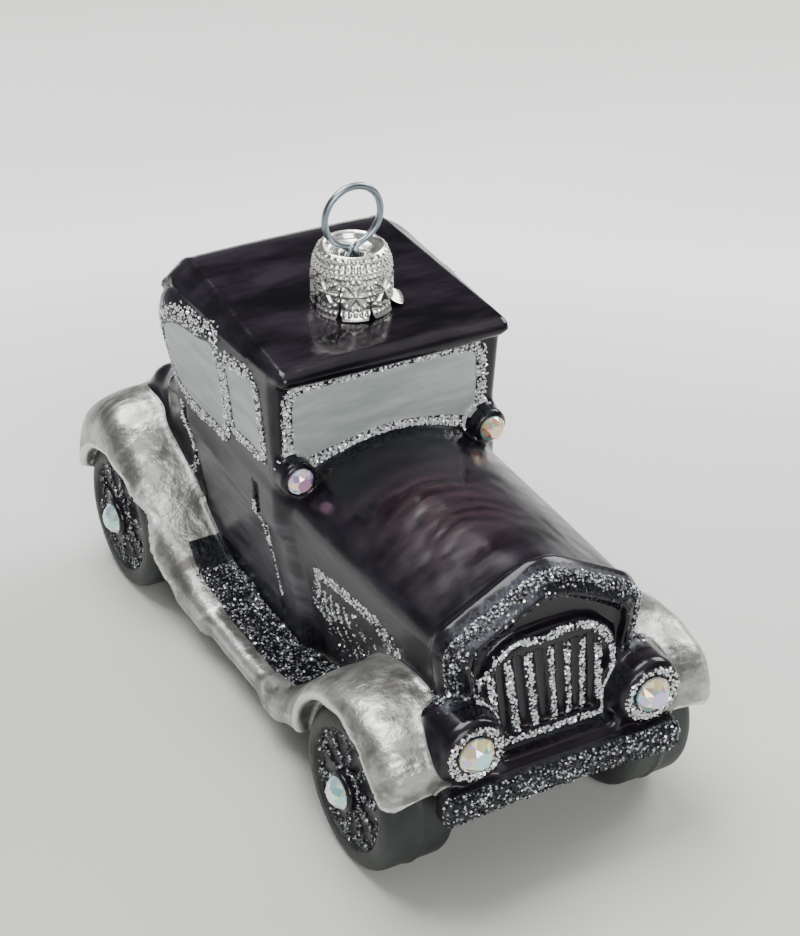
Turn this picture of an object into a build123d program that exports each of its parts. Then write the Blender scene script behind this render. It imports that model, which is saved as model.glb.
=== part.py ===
"""Blown-glass hanging ornament in the form of a vintage coupe.

Millimetres, +Z up, the car's nose points along -Y. The origin is on the floor under the middle of the
ornament's outer box. The glass is blown in one mould; it is split here where its lacquers change, so each
moulded form has its own solid and finish. The wheels are moulded in and don't turn. A stamped metal cap sits
on the open glass neck, held by the sprung legs of a wire hanger, and turns on it.
"""
import os
from math import atan2, cos, degrees, radians, sin, sqrt

from build123d import *

# Glass and clearances
wall = 1.2
cap_clearance = 0.35          # between the turning cap and the glass it turns on

# Wheels
tyre_radius = 11.85
tyre_flat = 0.25              # the treads are flattened a little where the ornament stands
tyre_width = 10.0
tyre_outer_x = 23.5           # outer face of the tyres, from the middle plane
tyre_shoulder = 1.6
rim_radius = 8.6
rim_depth = 0.9
hub_radius = 2.9
hub_height = 1.9              # above the floor of the rim
wheel_glitter_thickness = 0.6
spoke_count = 10
spoke_width = 0.95
front_axle_y = -36.0
wheelbase = 74.2
axle_z = tyre_radius - tyre_flat
rear_axle_y = front_axle_y + wheelbase
tyre_inner_x = tyre_outer_x - tyre_width
tyre_middle_x = tyre_outer_x - tyre_width / 2

# Cabin, with the tub under it and the roof over it
cabin_front_y = -3.0
cabin_rear_y = 33.8
cabin_back_roll = 8.0         # radius of the back's roll into the roof
belt_z = 36.0
sill_z = 7.0
eave_z = 55.2
belt_half = 17.5
eave_half = 18.3
sill_half = 12.0
roof_front_y = -4.8
roof_rear_y = 30.0
roof_front_z = 56.8
roof_rear_z = 58.4
roof_front_half = 18.4
roof_rear_half = 19.4
roof_edge = 1.2

# Bonnet and radiator
bonnet_front_y = -44.0
bonnet_rear_half = 16.2
bonnet_front_half = 14.6
bonnet_rear_top_z = 42.0
bonnet_front_top_z = 43.4
crease_z = 33.5
bonnet_foot_half = 10.0
bonnet_foot_z = 9.0
radiator_front_y = -46.6
radiator_half = 15.3
radiator_top_z = 45.2
radiator_edge = 1.0
grille_half = 9.3
grille_top_z = 36.0
grille_foot_z = 20.0
grille_bars = 7
grille_bar_width = 1.1

# Bumpers
bumper_half = 18.2
bumper_bottom_z = 13.6
bumper_height = 5.2
bumper_depth = 1.9
bumper_front_y = -51.6
bumper_rear_y = 51.99

# Tail
tail_rear_y = bumper_rear_y - bumper_depth
tail_top_z = 35.0
tail_drop_z = 25.0
tail_foot_z = 11.0
tail_half = 13.4

# Fenders and running boards
fender_inner_x = 9.0
fender_outer_x = 26.0
fender_edge = 3.2
fender_mouth = 10.6           # radius of the arch over the tyre's face
board_top_z = 8.4
board_bottom_z = 4.6
board_outer_x = 21.8
board_front_y = -13.0
board_rear_y = 19.0

# Lamps
headlamp_x = 13.6
headlamp_z = 24.6
headlamp_radius = 4.9
headlamp_front_y = radiator_front_y - 3.7
headlamp_ring_inner = 2.5
headlamp_ring_outer = 3.9
cowl_lamp_x = 15.4
cowl_lamp_z = 40.6
cowl_lamp_radius = 2.7
cowl_lamp_front_y = cabin_front_y - 2.9

# Windows, glitter and lacquer
pane = 0.3
glitter = 0.5
frame_width = 1.4
window_corner = 1.2
side_window_front_y = 1.0
side_window_rear_y = 29.6
side_window_foot_z = 37.4
side_window_top_z = eave_z - 1.8
side_pillar_y = 11.0
windscreen_half = 15.6
windscreen_foot_z = 43.0
windscreen_top_z = eave_z - 1.8
rear_window_half = 8.5
rear_window_foot_z = 41.0
rear_window_top_z = 49.0

# Stones
headlamp_stone = 4.7
cowl_stone = 3.9
hub_stone = 4.7
stone_sides = 8

# Neck, cap and hanger
neck_y = 8.3
neck_outer = 4.8
neck_bore = 3.8
neck_top_z = 64.4
cap_sheet = 0.35
cap_bottom_z = 57.9
cap_top_z = 67.1
cap_bead = 0.45
cap_dish_radius = 3.9
cap_dish_z = 65.4
cap_petals = 8
slit_width = 0.3
slit_length = 4.4
petal_tip = 1.1
wire_radius = 0.45
ring_radius = 5.0             # of the wire's middle line
ring_centre_z = 70.75
ring_bend = 1.0
leg_offset = 2.2              # of the bends' centres from the neck's axis
leg_splay = 15.0
leg_foot_z = 59.5
ring_turn = -7.0              # degrees about the neck
cap_inner = neck_outer + cap_clearance
cap_outer = cap_inner + cap_sheet

sides = (("left", 1), ("right", -1))
axles = (("front", front_axle_y), ("rear", rear_axle_y))


def block(x0, x1, y0, y1, z0, z1):
    return Pos((x0 + x1) / 2, (y0 + y1) / 2, (z0 + z1) / 2) * Box(x1 - x0, y1 - y0, z1 - z0)


def on_side(shape, side):
    return shape if side > 0 else mirror(shape, Plane.YZ)


def side_profile(outline, half):
    """Solid across the middle plane from an outline in (y, z)."""
    return extrude(Plane.YZ * make_face(outline), amount=half, both=True)


def front_plane(y):
    """Sketch plane seen from the front: x across, z up, facing -Y."""
    return Plane((0, y, 0), x_dir=(1, 0, 0), z_dir=(0, -1, 0))


def along_x(shape, x, y, z, side=1):
    """Turn a shape made about +Z to point outwards on one side of the car."""
    return Pos(side * x, y, z) * Rot(0, side * 90, 0) * shape


def along_y(shape, x, y, z, forward=True):
    """Turn a shape made about +Z to point forwards or backwards."""
    return Pos(x, y, z) * Rot(90 if forward else -90, 0, 0) * shape


def ring(outer, inner, height):
    return Cylinder(outer, height) - Cylinder(inner, height)


# The blown form. Each function's inset gives the same form smaller, for the hollow.


def cabin(inset=0.0):
    foot_z = belt_z - 3.0
    top_z = eave_z + 0.8
    front = cabin_front_y + inset
    rear = cabin_rear_y - inset
    roll = cabin_back_roll - inset
    outline = Polyline((rear, top_z - roll), (rear, foot_z), (front, foot_z), (front, top_z), (rear - roll, top_z))
    turn = RadiusArc((rear - roll, top_z), (rear, top_z - roll), roll)
    solid = side_profile(outline + turn, 30)
    across = Polyline(
        (belt_half - inset, foot_z),
        (eave_half - inset, top_z),
        (inset - eave_half, top_z),
        (inset - belt_half, foot_z),
        close=True,
    )
    return solid & extrude(front_plane(60) * make_face(across), amount=120)


def tub(inset=0.0):
    """Body below the belt, drawn in towards the running boards."""
    across = Polyline(
        (sill_half - inset, sill_z + inset),
        (belt_half - inset, belt_z),
        (inset - belt_half, belt_z),
        (inset - sill_half, sill_z + inset),
        close=True,
    )
    rear, front = cabin_rear_y - inset, cabin_front_y - 2.0 + inset
    return extrude(front_plane(rear) * make_face(across), amount=rear - front)


def roof():
    outline = Polyline(
        (roof_front_y, eave_z),
        (roof_rear_y, eave_z + 0.4),
        (roof_rear_y - 1.5, roof_rear_z),
        (roof_front_y, roof_front_z),
        close=True,
    )
    across = Polyline(
        (roof_front_half, roof_front_y),
        (roof_rear_half, roof_rear_y),
        (-roof_rear_half, roof_rear_y),
        (-roof_front_half, roof_front_y),
        close=True,
    )
    solid = side_profile(outline, 30) & extrude(Pos(0, 0, 40) * make_face(across), amount=40)
    top = solid.faces().sort_by(Axis.Z)[-1]
    return fillet(top.edges(), roof_edge)


def arched(half, foot_half, top_z, foot_z, inset=0.0):
    """Front view of the bonnet: arched top, a crease on each side, flanks drawn in to the foot."""
    half, foot_half = half - inset, foot_half - inset
    crease = crease_z - inset * 0.3
    outline = Polyline((half, crease), (foot_half, foot_z + inset), (-foot_half, foot_z + inset), (-half, crease))
    crown = ThreePointArc((-half, crease), (0, top_z - inset), (half, crease))
    return make_face(outline + crown)


def bonnet(inset=0.0):
    rear = front_plane(cabin_front_y + 2.5) * arched(
        bonnet_rear_half, bonnet_foot_half, bonnet_rear_top_z, bonnet_foot_z, inset
    )
    nose = front_plane(bonnet_front_y - 0.5) * arched(
        bonnet_front_half, bonnet_foot_half, bonnet_front_top_z, bonnet_foot_z, inset
    )
    return loft([rear, nose], ruled=True)


def radiator_form(inset=0.0):
    face = arched(radiator_half, bonnet_foot_half + 0.5, radiator_top_z, bonnet_foot_z - 0.5, inset)
    depth = bonnet_front_y - radiator_front_y - inset
    solid = extrude(front_plane(bonnet_front_y) * face, amount=depth)
    if inset:
        return solid
    return fillet(solid.faces().sort_by(Axis.Y)[0].edges(), radiator_edge)


def tail(inset=0.0):
    """Luggage deck behind the cabin."""
    outline = Polyline(
        (cabin_rear_y - 4.0, tail_top_z - inset),
        (cabin_rear_y + 2.5, tail_top_z - inset),
        (tail_rear_y - inset, tail_drop_z - inset * 0.5),
        (tail_rear_y - inset, tail_foot_z + 3.0),
        (cabin_rear_y - 4.0, sill_z + inset),
        close=True,
    )
    return side_profile(outline, tail_half - inset)


def body_form():
    return cabin() + tub() + roof() + bonnet() + radiator_form() + tail()


def hollow():
    inner = cabin(wall) + tub(wall) + bonnet(wall) + radiator_form(wall) + tail(wall)
    bore_foot_z = eave_z - 2.0
    bore = Pos(0, neck_y, (bore_foot_z + neck_top_z + 1) / 2) * Cylinder(neck_bore, neck_top_z + 1 - bore_foot_z)
    return inner + bore


def body_shell():
    neck_foot_z = roof_front_z - 1.0
    neck = Pos(0, neck_y, (neck_foot_z + neck_top_z) / 2) * Cylinder(neck_outer, neck_top_z - neck_foot_z)
    return body_form() + neck - hollow()


# Wheels, fenders and running boards


def tyre(y, side):
    """Tyre with rounded shoulders, a sunk rim and a hub boss, moulded in one and hollow from the inner side."""
    solid = fillet(Cylinder(tyre_radius, tyre_width).edges(), tyre_shoulder)
    face_z = tyre_width / 2
    solid -= Pos(0, 0, face_z - rim_depth / 2) * Cylinder(rim_radius, rim_depth)
    solid += Pos(0, 0, face_z - rim_depth + hub_height / 2) * Cylinder(hub_radius, hub_height)
    floor_z = face_z - rim_depth - wall
    solid -= Pos(0, 0, (floor_z - face_z) / 2) * Cylinder(tyre_radius - wall * 1.5, floor_z + face_z)
    return along_x(solid, tyre_middle_x, y, axle_z, side) - block(-40, 40, y - 20, y + 20, -5, 0)


def wheel_glitter(y, side):
    """Glitter on the moulded rim and spokes."""
    band = ring(rim_radius, rim_radius - 1.5, wheel_glitter_thickness)
    band += ring(hub_radius + 0.9, hub_radius, wheel_glitter_thickness)
    reach = rim_radius - 1.0 - hub_radius - 0.4
    for n in range(spoke_count):
        spoke = Pos(hub_radius + 0.4 + reach / 2, 0, 0) * Box(reach, spoke_width, wheel_glitter_thickness)
        band += Rot(0, 0, 360 * n / spoke_count) * spoke
    return along_x(band, tyre_outer_x - rim_depth + wheel_glitter_thickness / 2, y, axle_z, side)


def wheel_space(y):
    """Room for one left-hand tyre, with the mouth of the arch outside it."""
    room = Cylinder(tyre_radius, tyre_width + 20)
    mouth = Cylinder(fender_mouth, 20)
    space = along_x(room, tyre_outer_x - (tyre_width + 20) / 2, y, axle_z)
    return space + along_x(mouth, tyre_outer_x + 5, y, axle_z)


front_fender_line = (
    (-49.6, 14.4),
    (-48.2, 21.8),
    (-43.6, 26.2),
    (-36.5, 27.3),
    (-29.0, 24.4),
    (-22.5, 18.2),
    (-17.5, 12.0),
    (board_front_y, board_top_z),
)
rear_fender_line = (
    (51.0, 17.0),
    (49.6, 25.0),
    (45.0, 30.0),
    (39.5, 31.0),
    (33.0, 28.4),
    (27.5, 21.5),
    (23.0, 13.0),
    (board_rear_y, board_top_z),
)


def fender(line, axle_y, side):
    """Flowing wing: an arch over the wheel that runs down to the board, thick enough to take the tyre."""
    tip, foot = line[0], line[-1]
    outward = 1 if tip[0] > axle_y else -1
    lower = Polyline(
        foot,
        (foot[0], board_bottom_z),
        (axle_y - outward * 13.0, board_bottom_z),
        (axle_y - outward * 10.0, axle_z),
        (axle_y + outward * 10.0, axle_z + 1.6),
        tip,
    )
    face = Plane.YZ * make_face(Spline(*line) + lower)
    solid = Pos(fender_inner_x, 0, 0) * extrude(face, amount=fender_outer_x - fender_inner_x)
    crown = solid.edges().filter_by(lambda e: e.center().X > fender_outer_x - 0.1).sort_by(Axis.Z)[-1]
    solid = fillet(crown, fender_edge)
    solid = solid - wheel_space(axle_y) - tub() - bonnet() - radiator_form() - tail()
    return on_side(solid.solids().sort_by(SortBy.VOLUME)[-1], side)


def running_board(side):
    solid = block(fender_inner_x, board_outer_x, board_front_y, board_rear_y, board_bottom_z, board_top_z)
    outer = solid.edges().filter_by(Axis.Y).filter_by(lambda e: e.center().X > board_outer_x - 0.1)
    return on_side(fillet(outer, 1.0) - tub(), side)


def board_glitter(side):
    return on_side(
        block(sill_half + 0.6, board_outer_x - 2.4, board_front_y + 3, board_rear_y - 1, board_top_z, board_top_z + glitter),
        side,
    )


# Bumpers and lamps


def bumper(y, outward):
    bar = Box(2 * bumper_half, bumper_depth, bumper_height)
    bar = fillet(bar.edges().filter_by(Axis.X), 0.9)
    return Pos(0, y - outward * bumper_depth / 2, bumper_bottom_z + bumper_height / 2) * bar


def headlamp(side):
    depth = headlamp_front_y - radiator_front_y
    pod = Cylinder(headlamp_radius, -depth)
    pod = fillet(pod.edges().sort_by(Axis.Z)[-1], 0.9)
    return along_y(pod, side * headlamp_x, (headlamp_front_y + radiator_front_y) / 2, headlamp_z)


def headlamp_ring(side):
    band = ring(headlamp_ring_outer, headlamp_ring_inner, glitter)
    return along_y(band, side * headlamp_x, headlamp_front_y - glitter / 2, headlamp_z)


def cowl_lamp(side):
    back_y = cabin_front_y - glitter
    pod = Cylinder(cowl_lamp_radius, back_y - cowl_lamp_front_y)
    pod = fillet(pod.edges().sort_by(Axis.Z)[-1], 0.6)
    pod = along_y(pod, side * cowl_lamp_x, (back_y + cowl_lamp_front_y) / 2, cowl_lamp_z)
    return pod - bonnet()


def stone(width):
    """Flat-backed faceted stone with its table along +Z and its back on the plane z = 0."""
    radius = width / 2
    girdle = extrude(RegularPolygon(radius, stone_sides), amount=width * 0.1)
    low = Pos(0, 0, width * 0.1) * RegularPolygon(radius, stone_sides)
    high = Pos(0, 0, width * 0.36) * RegularPolygon(radius * 0.56, stone_sides, rotation=180 / stone_sides)
    return girdle + loft([low, high], ruled=True)


# Windows and glitter lines


def window_plate(outline_points, thickness, grow=0.0):
    corners = Polyline(*outline_points, close=True)
    face = make_face(corners)
    face = fillet(face.vertices(), window_corner)
    if grow:
        face = offset(face, amount=grow)
    return extrude(face, amount=thickness)


def window_frame(outline_points, thickness):
    return window_plate(outline_points, thickness) - window_plate(outline_points, thickness, -frame_width)


windscreen_points = (
    (-windscreen_half, windscreen_foot_z - 4.6),
    (0, windscreen_foot_z + 0.6),
    (windscreen_half, windscreen_foot_z - 4.6),
    (windscreen_half, windscreen_top_z),
    (-windscreen_half, windscreen_top_z),
)
side_window_points = (
    (side_window_front_y, side_window_foot_z),
    (side_window_rear_y + 1.4, side_window_foot_z),
    (side_window_rear_y + 0.6, side_window_top_z - 6.0),
    (side_window_rear_y - 4.0, side_window_top_z),
    (side_window_front_y + 2.2, side_window_top_z),
)
rear_window_points = (
    (-rear_window_half, rear_window_foot_z),
    (rear_window_half, rear_window_foot_z),
    (rear_window_half - 0.8, rear_window_top_z),
    (0.8 - rear_window_half, rear_window_top_z),
)


def side_plane():
    """Sketch plane on the left-hand side of the cabin: x along +Y, y up the glass from its foot."""
    foot_z = belt_z - 3.0
    lean = (eave_half - belt_half) / (eave_z + 0.8 - foot_z)
    return Plane((belt_half - lean * foot_z, 0, 0), x_dir=(0, 1, 0), z_dir=(1, 0, -lean))


def windscreen_coat():
    return front_plane(cabin_front_y) * window_plate(windscreen_points, pane, -frame_width)


def windscreen_glitter():
    return front_plane(cabin_front_y) * window_frame(windscreen_points, glitter)


def side_window_coat(side):
    pillar = Pos(side_pillar_y, 45, 0) * Box(frame_width, 40, 4)
    plate = window_plate(side_window_points, pane, -frame_width) - pillar
    front, rear = plate.solids().sort_by(Axis.X)
    return on_side(side_plane() * front, side), on_side(side_plane() * rear, side)


def side_window_glitter(side):
    height = side_window_top_z - side_window_foot_z
    pillar = block(
        side_pillar_y - frame_width / 2,
        side_pillar_y + frame_width / 2,
        side_window_foot_z + 0.1,
        side_window_foot_z + height - 0.1,
        0,
        glitter,
    )
    return on_side(side_plane() * (window_frame(side_window_points, glitter) + pillar), side)


def rear_plane():
    return Plane((0, cabin_rear_y, 0), x_dir=(-1, 0, 0), z_dir=(0, 1, 0))


def rear_window_coat():
    return rear_plane() * window_plate(rear_window_points, pane, -frame_width)


def rear_window_glitter():
    return rear_plane() * window_frame(rear_window_points, glitter)


def door_line(y, foot_z, top_z, side):
    skin = tub(-glitter) - tub()
    return on_side(skin & block(5, 30, y - 0.5, y + 0.5, foot_z, top_z), side)


door_lines = (("front_door_line", 2.6, 12.0, 33.0), ("rear_door_line", 24.4, 19.0, 33.0))
louvre_top_z = 28.4
louvre_front_y = -33.0
louvre_rear_y = -8.5
louvre_foot_z = 16.5
louvre_line = 1.3
louvre_bars = 6
louvre_bar_width = 0.9


def louvre(side):
    """Triangle of glitter with upright bars, laid on the bonnet's flank."""
    corners = Polyline(
        (louvre_rear_y, louvre_top_z),
        (louvre_front_y, louvre_top_z),
        (louvre_rear_y, louvre_foot_z),
        close=True,
    )
    whole = make_face(corners)
    outline = whole - offset(whole, amount=-louvre_line)
    pitch = (louvre_rear_y - louvre_front_y) / (louvre_bars + 1)
    for n in range(1, louvre_bars + 1):
        bar = Pos(louvre_rear_y - n * pitch, (louvre_top_z + louvre_foot_z) / 2) * Rectangle(louvre_bar_width, 30)
        outline += bar & whole
    pattern = extrude(Plane.YZ * outline, amount=40)
    skin = bonnet(-glitter) - bonnet() - tub()
    return on_side(pattern & skin, side)


def radiator_band():
    outer = arched(radiator_half - radiator_edge, bonnet_foot_half, radiator_top_z - radiator_edge, 24.0)
    inner = arched(radiator_half - radiator_edge - 2.6, bonnet_foot_half, radiator_top_z - radiator_edge - 2.6, 10.0)
    band = outer - inner
    band -= Pos(0, 15) * Rectangle(80, 30)
    return extrude(front_plane(radiator_front_y) * band, amount=glitter)


def grille():
    """Arched outline with upright bars, on the radiator's face."""
    height = grille_top_z - grille_foot_z
    outline = Polyline(
        (grille_half, grille_top_z - 6.0),
        (grille_half - 1.6, grille_foot_z),
        (1.6 - grille_half, grille_foot_z),
        (-grille_half, grille_top_z - 6.0),
    )
    crown = ThreePointArc((-grille_half, grille_top_z - 6.0), (0, grille_top_z), (grille_half, grille_top_z - 6.0))
    whole = make_face(outline + crown)
    pattern = whole - offset(whole, amount=-grille_bar_width)
    pitch = 2 * grille_half / (grille_bars + 1)
    for n in range(grille_bars):
        x = (n - (grille_bars - 1) / 2) * pitch
        pattern += (Pos(x, grille_foot_z + height / 2) * Rectangle(grille_bar_width, 2 * height)) & whole
    return extrude(front_plane(radiator_front_y) * pattern, amount=glitter)


# Cap and hanger, drawn about the neck's axis


def crown_cap():
    top = cap_top_z
    outline = Polyline(
        (cap_outer, cap_bottom_z),
        (cap_outer, top - 1.6),
        (cap_outer + cap_bead, top - 1.1),
        (cap_outer + cap_bead, top - 0.4),
        (cap_outer, top),
        (cap_dish_radius + 0.6, top),
        (cap_dish_radius, cap_dish_z),
        (0, cap_dish_z),
        (0, cap_dish_z - cap_sheet),
        (cap_dish_radius + 0.2, cap_dish_z - cap_sheet),
        (cap_dish_radius + 0.8, top - cap_sheet),
        (cap_inner, top - cap_sheet),
        (cap_inner, cap_bottom_z),
        close=True,
    )
    cap = revolve(Plane.XZ * make_face(outline), Axis.Z)
    for n in range(cap_petals):
        slit = Pos(cap_inner, 0, cap_bottom_z + slit_length / 2) * Box(3, slit_width, slit_length)
        cap -= Rot(0, 0, 360 * (n + 0.5) / cap_petals) * slit
        notch = Pos(cap_inner, 0, cap_bottom_z) * Rot(45, 0, 0) * Box(3, petal_tip * 1.2, petal_tip * 1.2)
        cap -= Rot(0, 0, 360 * (n + 0.5) / cap_petals) * notch
    slot = Pos(0, 0, cap_dish_z) * Box(5.6, 2 * wire_radius + 0.2, 3)
    cap -= Rot(0, 0, ring_turn) * slot
    return Pos(0, neck_y, 0) * cap


def hanger_wire():
    """Ring of spring wire whose two ends bend down through the cap's slot and splay inside the neck."""
    reach = ring_radius + ring_bend
    drop = sqrt(reach**2 - leg_offset**2)
    bend_z = ring_centre_z - drop
    join = (leg_offset * ring_radius / reach, ring_centre_z - drop * ring_radius / reach)
    splay = radians(leg_splay)
    start = (leg_offset - ring_bend * cos(splay), bend_z - ring_bend * sin(splay))
    foot = (start[0] + (start[1] - leg_foot_z) * sin(splay) / cos(splay), leg_foot_z)
    to_join = atan2(join[1] - bend_z, join[0] - leg_offset)
    middle = (to_join + radians(180) + splay) / 2
    bend = (leg_offset + ring_bend * cos(middle), bend_z + ring_bend * sin(middle))
    top = (0, ring_centre_z + ring_radius)
    path = Line(foot, start) + ThreePointArc(start, bend, join)
    path += ThreePointArc(join, (ring_radius, ring_centre_z), top)
    path = Plane.XZ * path
    section = Plane(path @ 0, z_dir=path % 0) * Circle(wire_radius)
    half = sweep(section, path)
    wire = half + mirror(half, Plane.YZ)
    return Pos(0, neck_y, 0) * Rot(0, 0, ring_turn) * wire


def parts():
    made = {
        "body_shell": body_shell(),
        "radiator_band": radiator_band(),
        "grille": grille(),
        "windscreen": windscreen_coat(),
        "windscreen_frame": windscreen_glitter(),
        "rear_window": rear_window_coat(),
        "rear_window_frame": rear_window_glitter(),
        "front_bumper": bumper(bumper_front_y, -1),
        "rear_bumper": bumper(bumper_rear_y, 1),
        "crown_cap": crown_cap(),
        "hanger_wire": hanger_wire(),
    }
    for name, side in sides:
        pod = headlamp(side)
        made[f"headlamp_{name}"] = pod
        front = fender(front_fender_line, front_axle_y, side) - pod - made["front_bumper"]
        made[f"front_fender_{name}"] = front
        made[f"rear_fender_{name}"] = fender(rear_fender_line, rear_axle_y, side) - made["rear_bumper"]
        made[f"running_board_{name}"] = running_board(side)
        made[f"board_glitter_{name}"] = board_glitter(side)
        made[f"headlamp_ring_{name}"] = headlamp_ring(side)
        made[f"headlamp_stone_{name}"] = along_y(stone(headlamp_stone), side * headlamp_x, headlamp_front_y, headlamp_z)
        made[f"cowl_lamp_{name}"] = cowl_lamp(side)
        made[f"cowl_stone_{name}"] = along_y(stone(cowl_stone), side * cowl_lamp_x, cowl_lamp_front_y, cowl_lamp_z)
        front_pane, rear_pane = side_window_coat(side)
        made[f"front_side_window_{name}"] = front_pane
        made[f"rear_side_window_{name}"] = rear_pane
        made[f"side_window_frame_{name}"] = side_window_glitter(side)
        made[f"louvre_{name}"] = louvre(side)
        for line, y, foot_z, top_z in door_lines:
            made[f"{line}_{name}"] = door_line(y, foot_z, top_z, side)
        for axle, y in axles:
            made[f"tyre_{axle}_{name}"] = tyre(y, side) - tub() - tail()
            made[f"wheel_glitter_{axle}_{name}"] = wheel_glitter(y, side)
            seat_x = tyre_outer_x - rim_depth + hub_height
            made[f"hub_stone_{axle}_{name}"] = along_x(stone(hub_stone), seat_x, y, axle_z, side)
    return made


if __name__ == "__main__":
    os.makedirs("parts", exist_ok=True)
    for node, shape in parts().items():
        export_step(shape, f"parts/{node}.step")
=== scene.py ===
"""Dressing for a blown-glass hanging ornament in the form of a vintage coupe.

Shapes are worked out in millimetres as numpy arrays and put into meshes in metres. The car's nose points
along -Y and its right-hand side along -X.
"""
import math

import bpy
import numpy as np
from mathutils import Matrix, Vector


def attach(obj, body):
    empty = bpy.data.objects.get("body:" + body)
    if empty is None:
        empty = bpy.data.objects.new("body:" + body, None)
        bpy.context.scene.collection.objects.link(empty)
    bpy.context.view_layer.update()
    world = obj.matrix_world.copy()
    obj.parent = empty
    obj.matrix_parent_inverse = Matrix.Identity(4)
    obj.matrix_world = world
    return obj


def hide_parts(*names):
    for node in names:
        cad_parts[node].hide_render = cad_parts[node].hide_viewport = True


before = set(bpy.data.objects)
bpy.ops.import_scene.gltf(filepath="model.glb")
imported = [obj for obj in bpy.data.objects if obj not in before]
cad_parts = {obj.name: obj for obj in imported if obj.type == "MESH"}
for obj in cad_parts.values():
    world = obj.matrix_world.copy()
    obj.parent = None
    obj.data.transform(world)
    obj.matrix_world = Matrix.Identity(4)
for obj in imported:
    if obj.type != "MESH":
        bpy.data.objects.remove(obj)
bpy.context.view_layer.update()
chance = np.random.default_rng(7)

METRES = 0.001
NET_STEP = 0.6                # spacing of the grid that the glass is drawn through, mm

FRONT_AXLE_Y, REAR_AXLE_Y, AXLE_Z = -36.0, 38.2, 11.6
TYRE_R, TYRE_IN, TYRE_OUT = 11.85, 13.5, 24.3
RIM_R, RIM_DEPTH, SPOKES = 8.6, 0.9, 10
HEADLAMP_X, HEADLAMP_Z = 13.6, 24.4
COWL_LAMP_X, COWL_LAMP_Z = 15.4, 40.6
NECK_Y = 8.3
DOOR_SEAMS = (3.1, 26.8)
FAR = 9.0                     # stands for "nowhere near" in a distance, mm


# arrays, distances and meshes


def new_object(name, vertices, faces, material, body="car", smooth=True):
    """Object at the origin from vertices in millimetres (n, 3) and a list or array of faces."""
    mesh = bpy.data.meshes.new(name)
    mesh.from_pydata((np.asarray(vertices, float) * METRES).tolist(), [], [list(map(int, f)) for f in faces])
    if smooth:
        mesh.shade_smooth()
    obj = bpy.data.objects.new(name, mesh)
    bpy.context.scene.collection.objects.link(obj)
    mesh.materials.append(material)
    if body:
        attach(obj, body)
    return obj


def set_attribute(obj, name, domain, values):
    """A number for each point or face of the mesh, for its material to read."""
    obj.data.attributes.new(name, "FLOAT", domain).data.foreach_set("value", values.astype(np.float32))


def grid_faces(rows, columns, closed=False):
    """Quads of a grid of rows x columns vertices, its last column joined to its first if closed."""
    r, c = np.meshgrid(np.arange(rows - 1), np.arange(columns if closed else columns - 1), indexing="ij")
    c2 = (c + 1) % columns
    corners = [r * columns + c, r * columns + c2, (r + 1) * columns + c2, (r + 1) * columns + c]
    return np.stack(corners, -1).reshape(-1, 4)


def smooth_min(a, b, k):
    """The lesser of two distances, with the crease between them filled to a radius of about k."""
    h = np.maximum(k - np.abs(a - b), 0.0) / k
    return np.minimum(a, b) - h * h * k * 0.25


def smooth_max(a, b, k):
    return -smooth_min(-a, -b, k)


def line_distance(u, v, points, closed):
    """Least distance from (u, v) to a polyline: to the nearest point of each piece, found by projection."""
    p = np.asarray(points, float)
    ends = np.roll(p, -1, 0) if closed else p[1:]
    starts = p if closed else p[:-1]
    best = np.full(np.shape(u), 1e9)
    for (u0, v0), (u1, v1) in zip(starts, ends):
        du, dv = u1 - u0, v1 - v0
        t = np.clip(((u - u0) * du + (v - v0) * dv) / (du * du + dv * dv), 0, 1)
        best = np.minimum(best, (u - u0 - t * du) ** 2 + (v - v0 - t * dv) ** 2)
    return np.sqrt(best)


def polygon_distance(u, v, points):
    """Signed distance from (u, v) to a closed polygon, negative inside, where an odd number of edges cross the
    level of v on one side."""
    inside = np.zeros(np.shape(u), bool)
    for (u0, v0), (u1, v1) in zip(points, np.roll(points, -1, axis=0)):
        if v1 != v0:
            crosses = (v0 > v) != (v1 > v)
            inside ^= crosses & (u < u0 + (v - v0) * (u1 - u0) / (v1 - v0))
    return np.where(inside, -1, 1) * line_distance(u, v, points, True)


def curve_through(points, steps=5, closed=False):
    """Points of a smooth curve through the given ones: Catmull-Rom pieces, each a cubic in its own parameter."""
    p = np.asarray(points, float)
    if closed:
        before, after, far = np.roll(p, 1, 0), np.roll(p, -1, 0), np.roll(p, -2, 0)
        start = p
    else:
        q = np.vstack([2 * p[0] - p[1], p, 2 * p[-1] - p[-2]])
        before, start, after, far = q[:-3], q[1:-2], q[2:-1], q[3:]
    t = np.linspace(0, 1, steps, endpoint=False)[None, :, None]
    b, s, a, f = (m[:, None, :] for m in (before, start, after, far))
    out = 0.5 * (2 * s + (a - b) * t + (2 * b - 5 * s + 4 * a - f) * t**2 + (3 * s - b - 3 * a + f) * t**3)
    out = out.reshape(-1, p.shape[1])
    return out if closed else np.vstack([out, p[-1]])


def ramp(v, v0, v1, a, b):
    """a at v0 and b at v1, straight between them and level outside."""
    return a + (b - a) * np.clip((v - v0) / (v1 - v0), 0, 1)


def rounded_box(x, y, z, low, high, radius):
    """Distance to a box with rounded edges."""
    low, high = np.asarray(low, float), np.asarray(high, float)
    centre, half = (low + high) / 2, (high - low) / 2 - radius
    qx, qy, qz = np.abs(x - centre[0]) - half[0], np.abs(y - centre[1]) - half[1], np.abs(z - centre[2]) - half[2]
    outside = np.sqrt(np.maximum(qx, 0) ** 2 + np.maximum(qy, 0) ** 2 + np.maximum(qz, 0) ** 2)
    return outside + np.minimum(np.maximum(qx, np.maximum(qy, qz)), 0) - radius


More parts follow.
